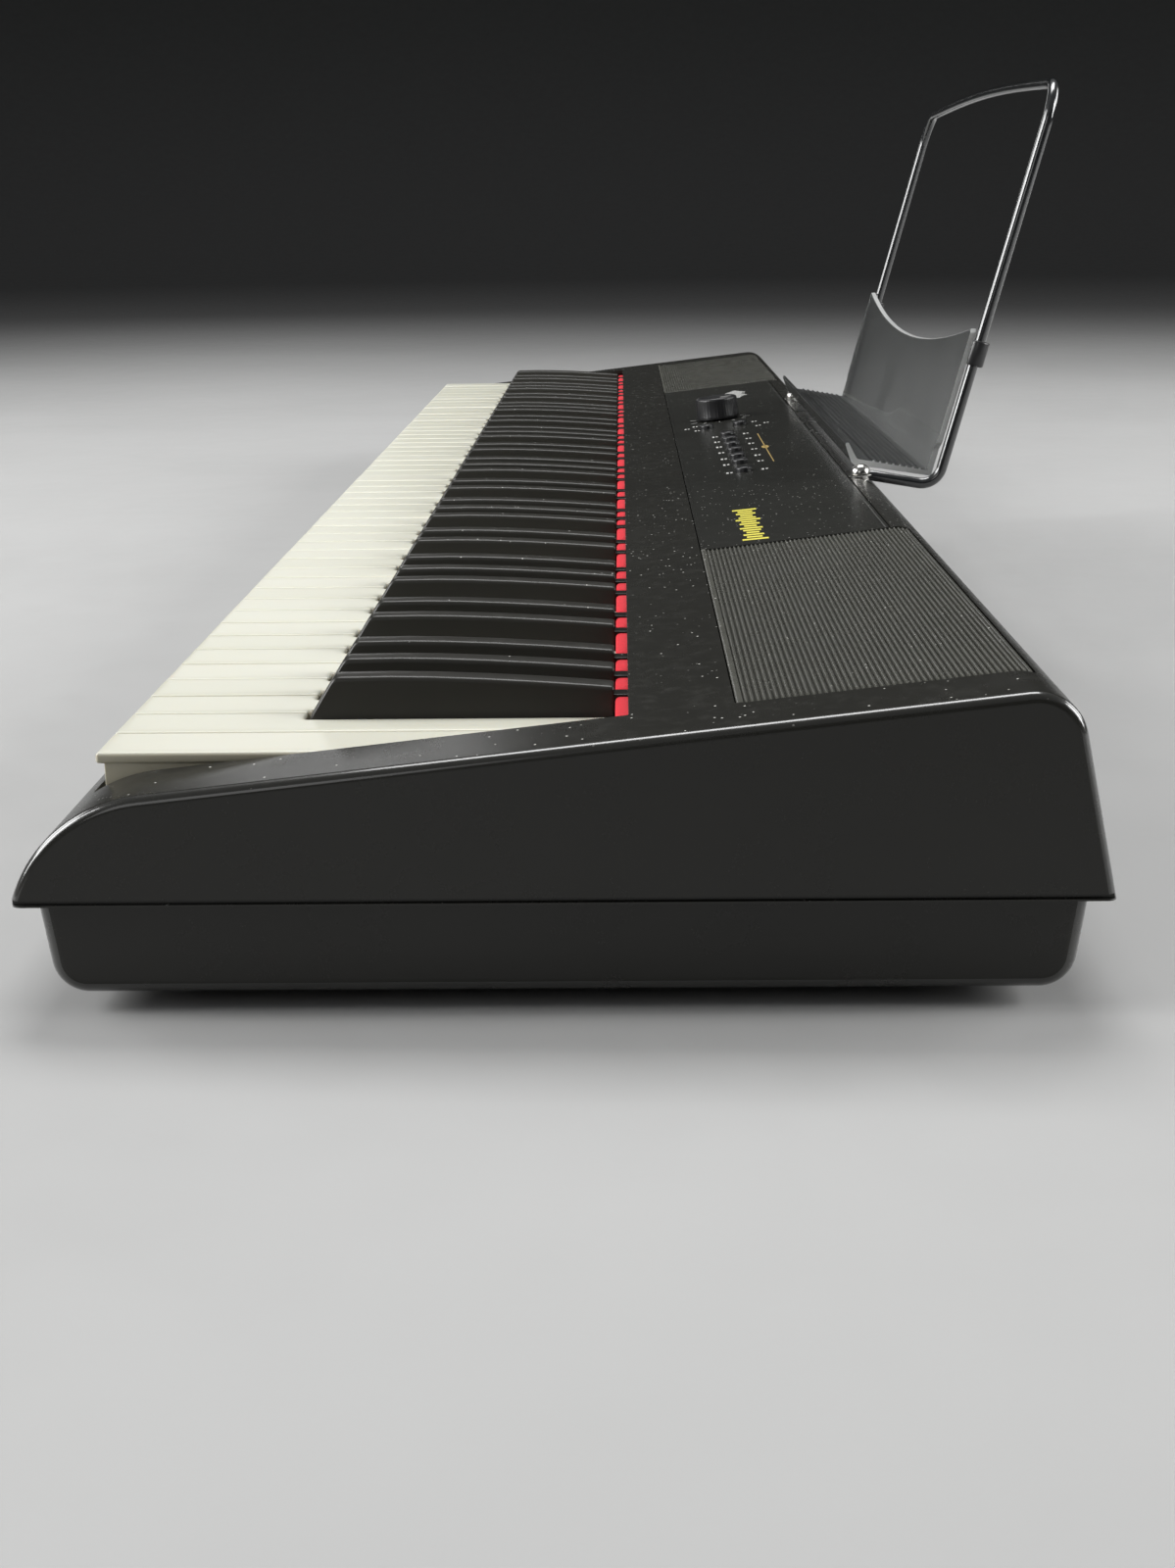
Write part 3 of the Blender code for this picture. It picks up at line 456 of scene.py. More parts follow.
def add_piece(name, bm, material, body, stands_for=(), angle=40, flats=False):
    """A piece in the frame, from a bmesh drawn in key coordinates; flats keeps flat faces even."""
    bmesh.ops.translate(bm, verts=bm.verts, vec=ORIGIN)
    made = linked(name, filled(name, bm, material))
    made.data.set_sharp_from_angle(angle=math.radians(angle))
    if flats:
        made.modifiers.new("even_normals", "WEIGHTED_NORMAL").keep_sharp = True
    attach(made, body)
    if stands_for:
        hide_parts(*stands_for)
    return made


# ---- materials

class Nodes:
    """A small hand for building one material's node tree."""

    def __init__(self, name):
        self.material = bpy.data.materials.new(name)
        self.material.use_nodes = True
        self.tree = self.material.node_tree
        self.shader = self.tree.nodes["Principled BSDF"]
        self.place = self.add("ShaderNodeTexCoord").outputs["Object"]

    def add(self, kind, **settings):
        node = self.tree.nodes.new(kind)
        for key, value in settings.items():
            setattr(node, key, value)
        return node

    def put(self, source, socket):
        if hasattr(source, "is_linked"):
            self.tree.links.new(source, socket)
        else:
            socket.default_value = source

    def fill(self, node, values):
        for key, value in values.items():
            self.put(value, node.inputs[key])
        return node.outputs

    def stretched(self, scale):
        return self.fill(self.add("ShaderNodeMapping"), {"Scale": scale, "Vector": self.place})["Vector"]

    def noise(self, scale, detail=3.0, rough=0.5, where=None, distortion=0.0):
        return self.fill(self.add("ShaderNodeTexNoise"), {
            "Vector": where or self.place, "Scale": scale, "Detail": detail, "Roughness": rough,
            "Distortion": distortion,
        })["Fac"]

    def cells(self, scale, feature="F1", chance=1.0):
        node = self.add("ShaderNodeTexVoronoi", feature=feature)
        return self.fill(node, {"Vector": self.place, "Scale": scale, "Randomness": chance})

    def span(self, value, low, high, out_low=0.0, out_high=1.0, smooth=False):
        node = self.add("ShaderNodeMapRange")
        if smooth:
            node.interpolation_type = "SMOOTHSTEP"
        return self.fill(node, {
            "Value": value, "From Min": low, "From Max": high, "To Min": out_low, "To Max": out_high,
        })["Result"]

    def maths(self, operation, first, second=0.0):
        node = self.add("ShaderNodeMath", operation=operation)
        return self.fill(node, {0: first, 1: second})["Value"]

    def times(self, first, second):
        return self.maths("MULTIPLY", first, second)

    def mix(self, factor, first, second):
        node = self.add("ShaderNodeMix", data_type="RGBA")
        colours = [socket for socket in node.inputs if socket.type == "RGBA"]
        self.put(factor, node.inputs["Factor"])
        for socket, value in zip(colours, (first, second)):
            self.put(value if hasattr(value, "is_linked") else (*value, 1.0), socket)
        return [socket for socket in node.outputs if socket.type == "RGBA"][0]

    def geometry(self, name):
        return self.add("ShaderNodeNewGeometry").outputs[name]

    def split(self, source):
        return self.fill(self.add("ShaderNodeSeparateXYZ"), {"Vector": source})

    def upward(self, low=0.55, high=0.85):
        return self.span(self.split(self.geometry("True Normal"))["Z"], low, high)

    def sideways(self):
        return self.maths("ABSOLUTE", self.split(self.geometry("True Normal"))["X"])

    def rim(self):
        """The rounded edges round the two ends, polished by handling."""
        across = self.sideways()
        return self.times(self.span(across, 0.2, 0.36), self.span(across, 0.93, 0.98, 1.0, 0.0))

    def dust(self, amount):
        """Where specks and short fibres lie, on surfaces that face up."""
        patches = self.span(self.noise(9.0, 4.0, 0.6), 0.45, 0.62)
        specks = self.cells(760.0)
        near = self.span(specks["Distance"], 0.16, 0.28, 1.0, 0.0)
        chance = self.fill(self.add("ShaderNodeSeparateColor"), {"Color": specks["Color"]})
        few = self.span(chance["Red"], 0.981, 0.984)
        some = self.span(chance["Green"], 0.945, 0.96)
        speck = self.times(near, self.maths("MAXIMUM", few, self.times(some, patches)))
        film = self.times(self.span(self.noise(160.0, 5.0, 0.7), 0.5, 0.9), 0.03)
        return self.times(self.times(self.maths("MAXIMUM", speck, film), self.upward()), amount)

    def finished(self, tone, rough, layers, others=()):
        """Fills the shader's sockets and gives the material.

        layers are bumps (height, strength, distance), the first nearest the surface. others maps
        the names of more sockets to plain values or to sources.
        """
        normal = None
        for height, strength, distance in layers:
            values = {"Strength": strength, "Distance": distance, "Height": height}
            if normal is not None:
                values["Normal"] = normal
            normal = self.fill(self.add("ShaderNodeBump"), values)["Normal"]
        self.fill(self.shader, {"Base Color": tone, "Roughness": rough, "Normal": normal, **dict(others)})
        return self.material


DUST = (0.8, 0.79, 0.74)


def finish_plastic(
    name, colour, tint, roughness, grain=0.0, grain_size=2600.0, dust=0.0, edge=None, streaks=0.0,
    shine=0.5, rim=False,
):
    """Moulded plastic: tone drift, uneven gloss, mould grain, fine wipe marks, dust, and a lighter colour on
    sharp edges that is wear on the controls and a painted highlight on the grille's ribs.
    """
    n = Nodes(name)
    shade = n.mix(n.span(n.noise(5.0, 3.0, 0.5), 0.2, 0.8), colour, tint)
    uneven = n.span(n.noise(38.0, 4.0, 0.6), 0.25, 0.75, roughness - 0.02, roughness + 0.03)
    wipes = n.span(n.noise(30.0, 3.0, 0.6, where=n.stretched((3.0, 60.0, 60.0))), 0.5, 0.72)
    rough = n.maths("ADD", uneven, n.times(wipes, 0.006 + streaks))
    others = {"Coat Roughness": 0.1, "Specular IOR Level": shine}
    if rim:
        others["Coat Weight"] = n.rim()
    if edge:
        # Sharp edges take the edge colour: wear on the controls, a painted highlight along the grille's rib
        # crests and border.
        edge_wear_and_highlight = n.times(
            n.span(n.geometry("Pointiness"), 0.52, 0.62), n.span(n.noise(90.0, 4.0), 0.35, 0.65, 0.3, 1.0)
        )
        shade = n.mix(n.times(edge_wear_and_highlight, 0.55), shade, edge)
    if dust:
        where = n.dust(dust)
        shade = n.mix(where, shade, DUST)
        rough = n.maths("ADD", rough, n.times(where, 0.5))
    layers = [(n.noise(220.0, 2.0), 0.015, 0.0001)]
    if grain:
        layers.append((n.noise(grain_size, 2.0, 0.5), grain, 0.00012))
    return n.finished(shade, n.maths("MINIMUM", rough, 0.95), layers, others)


def ivory():
    """Glossy key plastic, slightly different from key to key, with painted shade: a darker, warmer colour on
    the sides and rounded rims.
    """
    n = Nodes("ivory_keys")
    tone = n.mix(n.geometry("Random Per Island"), (0.62, 0.618, 0.52), (0.67, 0.665, 0.572))
    drift = n.span(n.noise(22.0, 4.0, 0.6), 0.35, 0.75)
    tone = n.mix(n.times(drift, 0.15), tone, (0.56, 0.53, 0.42))
    grime = n.times(n.span(n.noise(900.0, 3.0, 0.6), 0.66, 0.78), 0.08)
    tone = n.mix(grime, tone, (0.42, 0.38, 0.28))
    # Painted shade: the sides and rounded rims, which face away from the top, take a darker, warmer colour.
    tone = n.mix(n.upward(0.35, 0.8), (0.6, 0.565, 0.44), tone)
    marks = n.span(n.noise(60.0, 4.0, 0.65, where=n.stretched((20.0, 2.0, 20.0))), 0.45, 0.75)
    rough = n.span(marks, 0.0, 1.0, 0.33, 0.36)
    layers = [(n.noise(60.0, 2.0), 0.04, 0.0002), (n.noise(1800.0, 2.0), 0.03, 0.0001)]
    return n.finished(tone, rough, layers, {
        "Subsurface Weight": 0.12, "Subsurface Radius": (1.0, 0.8, 0.5), "Subsurface Scale": 0.0015,
        "Coat Weight": 0.12, "Coat Roughness": 0.2,
    })


def felt():
    """Red felt: tangled fibres, paler in patches of lint."""
    n = Nodes("red_felt")
    fibres = n.noise(1400.0, 6.0, 0.75, distortion=1.5)
    tone = n.mix(n.span(fibres, 0.3, 0.7), (0.5, 0.002, 0.012), (0.9, 0.008, 0.03))
    lint = n.times(n.span(n.noise(500.0, 5.0, 0.8), 0.64, 0.76), 0.35)
    tone = n.mix(lint, tone, (0.9, 0.3, 0.28))
    return n.finished(tone, 0.95, [(fibres, 0.8, 0.0003)], {"Sheen Weight": 0.1, "Sheen Roughness": 0.5})


def metal(name, colour, roughness):
    """Plated or plain metal with fine turned lines."""
    n = Nodes(name)
    lines = n.noise(60.0, 4.0, 0.6, where=n.stretched((8.0, 8.0, 60.0)))
    tone = n.mix(n.span(lines, 0.3, 0.7), colour, tuple(0.82 * c for c in colour))
    rough = n.span(lines, 0.25, 0.75, roughness, roughness + 0.14)
    return n.finished(tone, rough, [(lines, 0.08, 0.0001)], {"Metallic": 1.0})


def wire_coat():
    """Glossy black powder coat on steel wire, with a faint orange-peel surface."""
    n = Nodes("wire_coat")
    peel = n.noise(850.0, 3.0, 0.5)
    tone = n.mix(n.span(n.noise(60.0, 4.0), 0.3, 0.7), (0.01, 0.011, 0.012), (0.02, 0.021, 0.022))
    rough = n.span(n.noise(120.0, 4.0), 0.3, 0.7, 0.13, 0.24)
    return n.finished(tone, rough, [(peel, 0.1, 0.0001)], {
        "Coat Weight": 1.0, "Coat Roughness": 0.06, "Specular IOR Level": 0.7,
    })


def smoked():
    """Smoked clear plastic with handling haze, hairline marks, and frosted sawn edges whose pale colour is
    also a painted highlight.
    """
    n = Nodes("smoked_clear_plastic")
    haze = n.span(n.noise(26.0, 5.0, 0.65), 0.4, 0.75)
    hairs = n.span(n.noise(70.0, 3.0, 0.6, where=n.stretched((5.0, 30.0, 90.0))), 0.62, 0.7)
    # The sawn faces (side ends, rib ends and the dished top edge) are frosted, and painted pale as a
    # highlight along the sheet's edges.
    above_ledge = n.span(n.split(n.place)["Z"], SHEET_EDGE_Z, SHEET_EDGE_Z + 0.001)
    sawn_edge_highlight = n.maths(
        "MAXIMUM", n.span(n.sideways(), 0.45, 0.6), n.times(n.upward(0.45, 0.6), above_ledge)
    )
    tone = n.mix(haze, (0.5, 0.51, 0.505), (0.41, 0.42, 0.415))
    rough = n.maths("ADD", n.span(haze, 0.0, 1.0, 0.03, 0.09), n.times(hairs, 0.12))
    rough = n.maths("ADD", rough, n.times(sawn_edge_highlight, 0.25))
    return n.finished(
        n.mix(sawn_edge_highlight, tone, (0.8, 0.81, 0.8)), rough, [(n.noise(30.0, 2.0), 0.06, 0.0004)],
        {"Transmission Weight": n.span(sawn_edge_highlight, 0.0, 1.0, 0.92, 0.45), "IOR": 1.49},
    )


def ink(name, colour, edge_wear_and_highlight):
    """Screen-printed ink, thin in places."""
    n = Nodes(name)
    thin = n.span(n.noise(700.0, 4.0, 0.7), 0.52, 0.72)
    tone, rough = n.mix(n.times(thin, 0.5), colour, edge_wear_and_highlight), n.span(thin, 0.0, 1.0, 0.42, 0.6)
    return n.finished(tone, rough, [(n.noise(1500.0, 2.0), 0.1, 0.0001)])


def board():
    """Solder-masked board with traces."""
    n = Nodes("circuit_board")
    traces = n.cells(240.0, feature="DISTANCE_TO_EDGE", chance=0.35)["Distance"]
    line = n.span(traces, 0.06, 0.1, 1.0, 0.0)
    tone = n.mix(line, (0.01, 0.085, 0.03), (0.02, 0.15, 0.055))
    return n.finished(tone, n.span(n.noise(90.0), 0.3, 0.7, 0.32, 0.45), [(line, 0.3, 0.0001)])


def pale_floor():
    """Pale floor that darkens away from the piano, a painted pool of light round it, and darkens up the
    backdrop.
    """
    n = Nodes("pale_floor")
    tone = n.mix(n.span(n.noise(2.5, 5.0, 0.6), 0.3, 0.7), (0.4, 0.4, 0.396), (0.44, 0.44, 0.436))
    out = n.fill(n.add("ShaderNodeVectorMath", operation="LENGTH"), {0: n.place})["Value"]
    # Painted pool of light: the floor's colour darkens with distance from the piano.
    tone = n.mix(n.span(out, 1.0, 3.4, smooth=True), tone, (0.11, 0.11, 0.109))
    tone = n.mix(n.span(n.split(n.place)["Z"], 0.05, 1.3, smooth=True), tone, (0.07, 0.072, 0.069))
    rough = n.span(n.noise(40.0, 4.0), 0.3, 0.7, 0.62, 0.75)
    return n.finished(tone, rough, [(n.noise(300.0, 3.0), 0.05, 0.0005)])


CASE = finish_plastic(
    "case_plastic", (0.0172, 0.017, 0.0146), (0.0212, 0.0209, 0.0181), 0.26, grain=0.08,
    dust=1.0, shine=0.34, rim=True,
)
PANEL = finish_plastic(
    "panel_plastic", (0.0215, 0.0218, 0.0192), (0.0275, 0.0278, 0.025), 0.22, grain=0.04,
    dust=0.6, shine=0.36,
)
# The grille's edge colour is a painted highlight along its rib crests and front border.
GRILLE = finish_plastic(
    "grille_plastic", (0.054, 0.054, 0.046), (0.076, 0.076, 0.065), 0.27, grain=0.05,
    dust=1.0, edge=(0.16, 0.16, 0.14),
)
EBONY = finish_plastic(
    "black_key_plastic", (0.0225, 0.0218, 0.019), (0.0295, 0.0285, 0.025), 0.3, grain=0.02,
    dust=1.0, streaks=0.01, shine=0.3,
)
CONTROL = finish_plastic(
    "control_plastic", (0.012, 0.012, 0.013), (0.02, 0.02, 0.021), 0.3, grain=0.08, dust=0.5,
    edge=(0.08, 0.08, 0.08),
)
RUBBER = finish_plastic("foot_rubber", (0.014, 0.014, 0.014), (0.024, 0.024, 0.023), 0.82, grain=0.5)
CHASSIS = finish_plastic("chassis_plastic", (0.1, 0.1, 0.1), (0.13, 0.13, 0.13), 0.55, grain=0.3)
CONTACT = finish_plastic("contact_rubber", (0.26, 0.26, 0.27), (0.32, 0.32, 0.33), 0.7, grain=0.2)
CONE = finish_plastic("cone_paper", (0.03, 0.03, 0.03), (0.05, 0.05, 0.048), 0.85, grain=0.7, grain_size=900)
IVORY = ivory()
FELT = felt()
NICKEL = metal("nickel_plate", (0.62, 0.61, 0.58), 0.16)
STEEL = metal("screw_steel", (0.2, 0.2, 0.2), 0.3)
WIRE = wire_coat()
SMOKED = smoked()
WHITE_INK = ink("white_ink", (0.62, 0.62, 0.6), (0.3, 0.3, 0.29))
GOLD_INK = ink("gold_ink", (0.42, 0.3, 0.1), (0.22, 0.16, 0.06))
YELLOW_INK = ink("yellow_ink", (0.78, 0.7, 0.1), (0.45, 0.4, 0.08))
BOARD = board()


# ---- case

def button_places():
    places = [(f"function_button_{i + 1}", x, BUTTON_Y) for i, x in enumerate(BUTTON_X)]
    places.append(("function_button_8", SIDE_BUTTON_X, SIDE_BUTTON_Y[1]))
    places.append(("power_button", SIDE_BUTTON_X, SIDE_BUTTON_Y[0]))
    return places


def upper_case():
    """Moulded top shell with rounded ends, key slot, inset opening, sockets and rest holes."""
    bm = prism(bmesh.new(), case_profile(0.0, SEAM), "x", -CASE_HALF, CASE_HALF)
    round_ends(bm, CASE_EDGE, lambda heights: max(heights) > SEAM + 0.0001)

    hollow = bmesh.new()
    inner = case_profile(CASE_WALL, SEAM + 0.002, nose_steps=12, rear_steps=8)
    for low, high in (
        (-CASE_HALF + CASE_WALL, -CHEEK_START - CASE_WALL),
        (-CHEEK_START, CHEEK_START),
        (CHEEK_START + CASE_WALL, CASE_HALF - CASE_WALL),
    ):
        prism(hollow, inner, "x", low, high)
    tray = block(
        bmesh.new(),
        (-TRAY_HALF - FIT, TRAY_FRONT - FIT, SEAM - 0.002),
        (TRAY_HALF + FIT, TRAY_REAR + FIT, TRAY_RIM + 0.001),
    )
    key_slot = rounded_box(-SLOT_HALF, SLOT_HALF, SLOT_FRONT, SLOT_REAR, 0.0006, 3)
    slot = prism(bmesh.new(), key_slot, "z", -0.029, 0.04)
    wide, narrow = GRILLE_OUTER + FIT, PANEL_HALF + FIT
    front, rear, panel_rear = INSET_FRONT - FIT, GRILLE_REAR + FIT, PANEL_REAR + FIT
    plan = [
        (-wide, front), (wide, front), (wide, rear), (narrow, rear),
        (narrow, panel_rear), (-narrow, panel_rear), (-narrow, rear), (-wide, rear),
    ]
    inset = prism(bmesh.new(), rounded(plan, 0.0012, 3), "z", 0.005, 0.04)
    holes, rest_hole, socket_hole, drill, wall = bmesh.new(), 0.0042, 0.0056, 0.03, 0.252
    for side in (-1, 1):
        drum(holes, rest_hole, (side * REST_HALF, REST_HOLE_Y, 0.004), (0, 0, 1), drill)
    for x in (POWER_X, PEDAL_X, PHONES_X):
        drum(holes, socket_hole, (x, wall, SOCKET_Z), (0, 1, 0), drill)
    half, tall = 0.0064, 0.0059
    block(holes, (USB_X - half, wall, SOCKET_Z - tall), (USB_X + half, wall + drill, SOCKET_Z + tall))
    groove, groove_depth = bmesh.new(), 0.0012
    for side in (-1, 1):
        low, high = sorted((side * (CASE_HALF - groove_depth), side * (CASE_HALF + 0.001)))
        block(groove, (low, -0.03, LIP_Z - 0.0015), (high, 0.29, LIP_Z - 0.0002))
    bm = shaped(bm, [hollow, tray, slot, inset, holes, groove])

    def rim(point):
        """True on the outer skin beside an opening in the top."""
        return point.z > top_z(point.y) - 0.0003 and SLOT_FRONT - 0.001 < point.y < wall

    soften(bm, 0.0004, rim)
    add_piece("case_top_shell", bm, CASE, "case", ["upper_case"], 30, flats=True)


def lower_case():
    """Moulded tray with tapered sides, rounded bottom edges and recessed screw holes."""
    bm = prism(bmesh.new(), tray_outline(0.0), "x", -TRAY_HALF, TRAY_HALF)
    round_ends(bm, TRAY_EDGE, lambda heights: min(heights) < TRAY_RIM - 0.0001)
    hollow = tray_outline(CASE_WALL)
    for i in (0, -1):
        hollow[i] = hollow[i] + Vector((0.0, 0.01))
    inside = prism(bmesh.new(), hollow, "x", -TRAY_HALF + CASE_WALL, TRAY_HALF - CASE_WALL)
    recess, radius, depth = bmesh.new(), 0.0042, 0.0028
    for x, y in screw_places():
        drum(recess, radius, (x, y, TRAY_BOTTOM - 0.001), (0, 0, 1), depth, 32)
    bm = shaped(bm, [inside, recess])
    add_piece("case_tray", bm, CASE, "case", ["lower_case"], 30, flats=True)


def screw_places():
    places = [(x, y) for y in (0.012, 0.238) for x in (-0.61, -0.41, -0.2, 0.0, 0.2, 0.41, 0.61)]
    return places + [(x, 0.125) for x in (-0.5, -0.25, 0.25, 0.5)]


def screws():
    """Cross-head case screws in the recesses underneath."""
    bm = bmesh.new()
    level = TRAY_BOTTOM + 0.0017
    profile = [(0.0005, -0.0012), (0.0018, -0.0011), (0.003, -0.0004), (0.0031, 0.0), (0.001, 0.0)]
    for x, y in screw_places():
        head = turned(bmesh.new(), profile, (x, y, level), (0, 0, 1), 28, solid=True)
        slots = [
            block(bmesh.new(), (x - wide, y - deep, level - 0.002), (x + wide, y + deep, level - 0.0006))
            for wide, deep in ((0.0019, 0.00035), (0.00035, 0.0019))
        ]
        merge(bm, shaped(head, slots))
    add_piece("case_screws", bm, STEEL, "case")


def rubber_feet():
    for number in range(1, 5):
        node = f"rubber_foot_{number}"
        low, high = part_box(node)
        base = Vector((0.5 * (low.x + high.x), 0.5 * (low.y + high.y), low.z)) - ORIGIN
        height = high.z - low.z
        profile = [
            (0.003, 0.0015), (0.0034, 0.0), (FOOT_RADIUS - 0.0014, 0.0), (FOOT_RADIUS - 0.0004, 0.0004),
            (FOOT_RADIUS, 0.0014), (FOOT_RADIUS - 0.0002, height - 0.0004), (FOOT_RADIUS - 0.0006, height),
            (0.003, height),
        ]
        bm = turned(bmesh.new(), profile, base, (0, 0, 1), 48)
        add_piece(f"foot_pad_{number}", bm, RUBBER, "case", [node])


# ---- insets and controls

def speaker_grille(node, side):
    """Ribbed grille plate with a plain front border; the ribs wrap over the rear corner.

    Towards each end the ribs narrow and sink: their rise is raised to a power and a share of it kept.
    """
    total = inset_length(GRILLE_REAR)
    border, deep, samples = 0.0019, 0.001, 10
    pitch = (total - border) / RIB_COUNT
    edge = [(0.0, -0.0003), (0.0003, 0.0), (border - 0.0003, 0.0), (border, -0.0003), (border, -deep)]
    first, last = sorted((side * GRILLE_INNER, side * GRILLE_OUTER))
    ends = [(0.0, 5.0, 0.55), (0.0008, 2.6, 0.85), (0.0018, 1.4, 0.97)]
    ends += [(0.003, 0.8, 1.0), (0.0045, 0.55, 1.0)]
    stations = [(first + step, power, share) for step, power, share in ends]
    stations += [(last - step, power, share) for step, power, share in reversed(ends)]
    loops = []
    for x, power, share in stations:
        outline = list(edge)
        for rib in range(RIB_COUNT):
            for step in range(1, samples + 1):
                part = step / samples
                rise = math.sin(math.pi * (part - 0.1) / 0.8) if 0.1 < part < 0.9 else 0.0
                outline.append((border + pitch * (rib + part), deep * share * rise ** power - deep))
        outline += [(length, -INSET_THICKNESS) for length in (total, total * 0.9, total * 0.8, 0.0)]
        loops.append([Vector((x, *on_top(length, height))) for length, height in outline])
    bm = loft(bmesh.new(), loops)
    add_piece(node.replace("speaker", "ribbed"), bm, GRILLE, "case", [node], 50)


def control_panel():
    """Fascia between the grilles, with a fine raised border and a hole for each control."""
    total = inset_length(PANEL_REAR)
    field = -0.00025
    outline = [(0.0, -0.0003), (0.0003, 0.0), (0.0013, 0.0), (0.0016, field), (total - 0.003, field)]
    outline += [(total - 0.0016, field), (total - 0.0013, 0.0), (total - 0.0003, 0.0), (total, -0.0003)]
    outline += [(length, -INSET_THICKNESS) for length in (total, total - 0.003, 0.0)]
    outline = [on_top(length, height) for length, height in outline]
    bm = prism(bmesh.new(), outline, "x", -PANEL_HALF, PANEL_HALF)
    holes, shaft_hole, reach = bmesh.new(), 0.0034, 0.01
    places = [(BUTTON_RADIUS + FIT, x, y) for _, x, y in button_places()]
    for radius, x, y in [*places, (shaft_hole, KNOB_X, KNOB_Y)]:
        drum(holes, radius, panel_point(x, y, -reach), PANEL_NORMAL, 2 * reach)
    bm = shaped(bm, [holes])
    add_piece("fascia", bm, PANEL, "case", ["control_panel"], 30, flats=True)


def printed(name, shapes, material):
    """Marks printed on the fascia: closed outlines of (x, y), as a thin layer of ink."""
    bm = bmesh.new()
    for shape in shapes:
        loops = [[panel_point(x, y, lift) for x, y in shape] for lift in (-0.0003, -0.00019)]
        merge(bm, loft(bmesh.new(), loops))
    return add_piece(name, bm, material, "case")


def bar(x, y, wide, deep, lean=0.0, radius=0.0003):
    """A rounded bar centred on x, y."""
    half, tall = wide / 2, deep / 2
    corners = [
        (x - half - lean, y - tall), (x + half - lean, y - tall),
        (x + half + lean, y + tall), (x - half + lean, y + tall),
    ]
    return rounded(corners, radius, 3)


def printed_marks():
    """Generic marks only: bars, ticks and dots in the places where a fascia is labelled."""
    draw = random.Random(11)
    thick = 0.0011
    white = []
    for i, x in enumerate(BUTTON_X):
        wide = 0.0046 + 0.0016 * draw.random()
        white += [bar(x, 0.1922, wide, thick), bar(x, 0.1941, wide * 0.7, thick)]
        white += [bar(x, 0.2091, 0.005 - 0.0012 * (i % 2), thick), bar(x, 0.211, 0.003, thick)]
    for x, y, wide in (
        (-0.0935, 0.1786, 0.003), (-0.102, 0.1835, 0.0034), (-0.0787, 0.1839, 0.003),
        (-0.0925, 0.2171, 0.0028), (-0.0682, 0.218, 0.003), (-0.079, 0.2232, 0.0026),
    ):
        white += [bar(x, y, wide + 0.0012, thick), bar(x, y + 0.0018, wide, thick)]
    for step in range(11):
        angle = math.radians(-60 + 30 * step)
        out = Vector((math.cos(angle), math.sin(angle)))
        middle = Vector((KNOB_X, KNOB_Y)) + out * (KNOB_RADIUS + 0.0042)
        across = Vector((-out.y, out.x)) * 0.00028
        reach = out * (0.0013 if step % 5 else 0.002)
        inner, outer = middle - reach, middle + reach
        white.append([inner - across, outer - across, outer + across, inner + across])
    for i, height in enumerate((3, 6, 10, 13, 9, 12, 7, 11, 13, 8, 5, 3)):
        white.append(bar(-0.302 + 0.0045 * i, 0.217, 0.0022, 0.001 * height))
    printed("fascia_marks_white", white, WHITE_INK)

    line_x, line_y = 0.0385, 0.216
    oval = [Vector((line_x, line_y)) + Vector((0.0062 * c, 0.0019 * s)) for c, s in circle(32)]
    printed("fascia_line_gold", [bar(line_x, line_y, 0.131, 0.0005, radius=0.0002), oval], GOLD_INK)

    yellow = [
        bar(0.258 + 0.0058 * i, 0.193, 0.0034, 0.001 * height, lean=0.0006)
        for i, height in enumerate((10, 6, 8, 5, 7, 10, 6, 8, 5, 9, 7, 5, 8, 6, 10))
    ]
    printed("fascia_bars_yellow", yellow, YELLOW_INK)


def buttons():
    """Round push buttons with a shallow dish on top."""
    collar, foot = BUTTON_RADIUS + 0.001, -0.0062
    profile = [
        (0.0004, BUTTON_HEIGHT - 0.00025), (0.0018, BUTTON_HEIGHT - 0.0002), (0.0029, BUTTON_HEIGHT),
        (0.0034, BUTTON_HEIGHT - 0.0001), (0.0038, BUTTON_HEIGHT - 0.0004),
        (BUTTON_RADIUS, BUTTON_HEIGHT - 0.0009), (BUTTON_RADIUS, -0.0044),
        (collar, -0.0044), (collar, foot), (0.0004, foot),
    ]
    for node, x, y in button_places():
        bm = turned(bmesh.new(), profile, panel_point(x, y), PANEL_NORMAL, 40, solid=True)
        add_piece(node.replace("button", "cap"), bm, CONTROL, node, [node])


def volume_knob():
    """Turned knob with fine flutes and a pointer line."""
    radius, height, shaft, foot = KNOB_RADIUS, KNOB_HEIGHT, 0.003, -0.0062
    profile = [
        (0.0004, height - 0.0006), (0.007, height - 0.0006), (0.0086, height - 0.0004),
        (0.0094, height), (0.0108, height), (0.0116, height - 0.0003), (0.0121, height - 0.001),
        (0.0122, height - 0.0018), (0.0124, 0.0026), (radius, 0.0022), (radius, 0.0009),
        (radius - 0.0003, 0.0006), (shaft, 0.0006), (shaft, foot), (0.0004, foot),
    ]
    fluted = (7, 8)

    def wave(angle, i):
        return 1.0 - 0.01 * (0.5 - 0.5 * math.cos(48 * angle)) if i in fluted else 1.0

    base = panel_point(KNOB_X, KNOB_Y)
    bm = turned(bmesh.new(), profile, base, PANEL_NORMAL, 240, solid=True, wave=wave)
    add_piece("volume_knob_cap", bm, CONTROL, "volume_knob", ["volume_knob"], 45)
    top = base + PANEL_NORMAL * (height - 0.0004)
    corners = rounded_box(-0.0004, 0.0004, 0.0025, 0.0088, 0.0003, 3)
    pointer = loft(bmesh.new(), [
        [top + ACROSS * x + PANEL_ALONG * y + PANEL_NORMAL * lift for x, y in corners]
        for lift in (-0.0004, 0.0001)
    ])
    add_piece("volume_knob_pointer", pointer, WHITE_INK, "volume_knob")


# ---- keys

def white_left(index):
    return (index - WHITE_COUNT / 2) * WHITE_PITCH


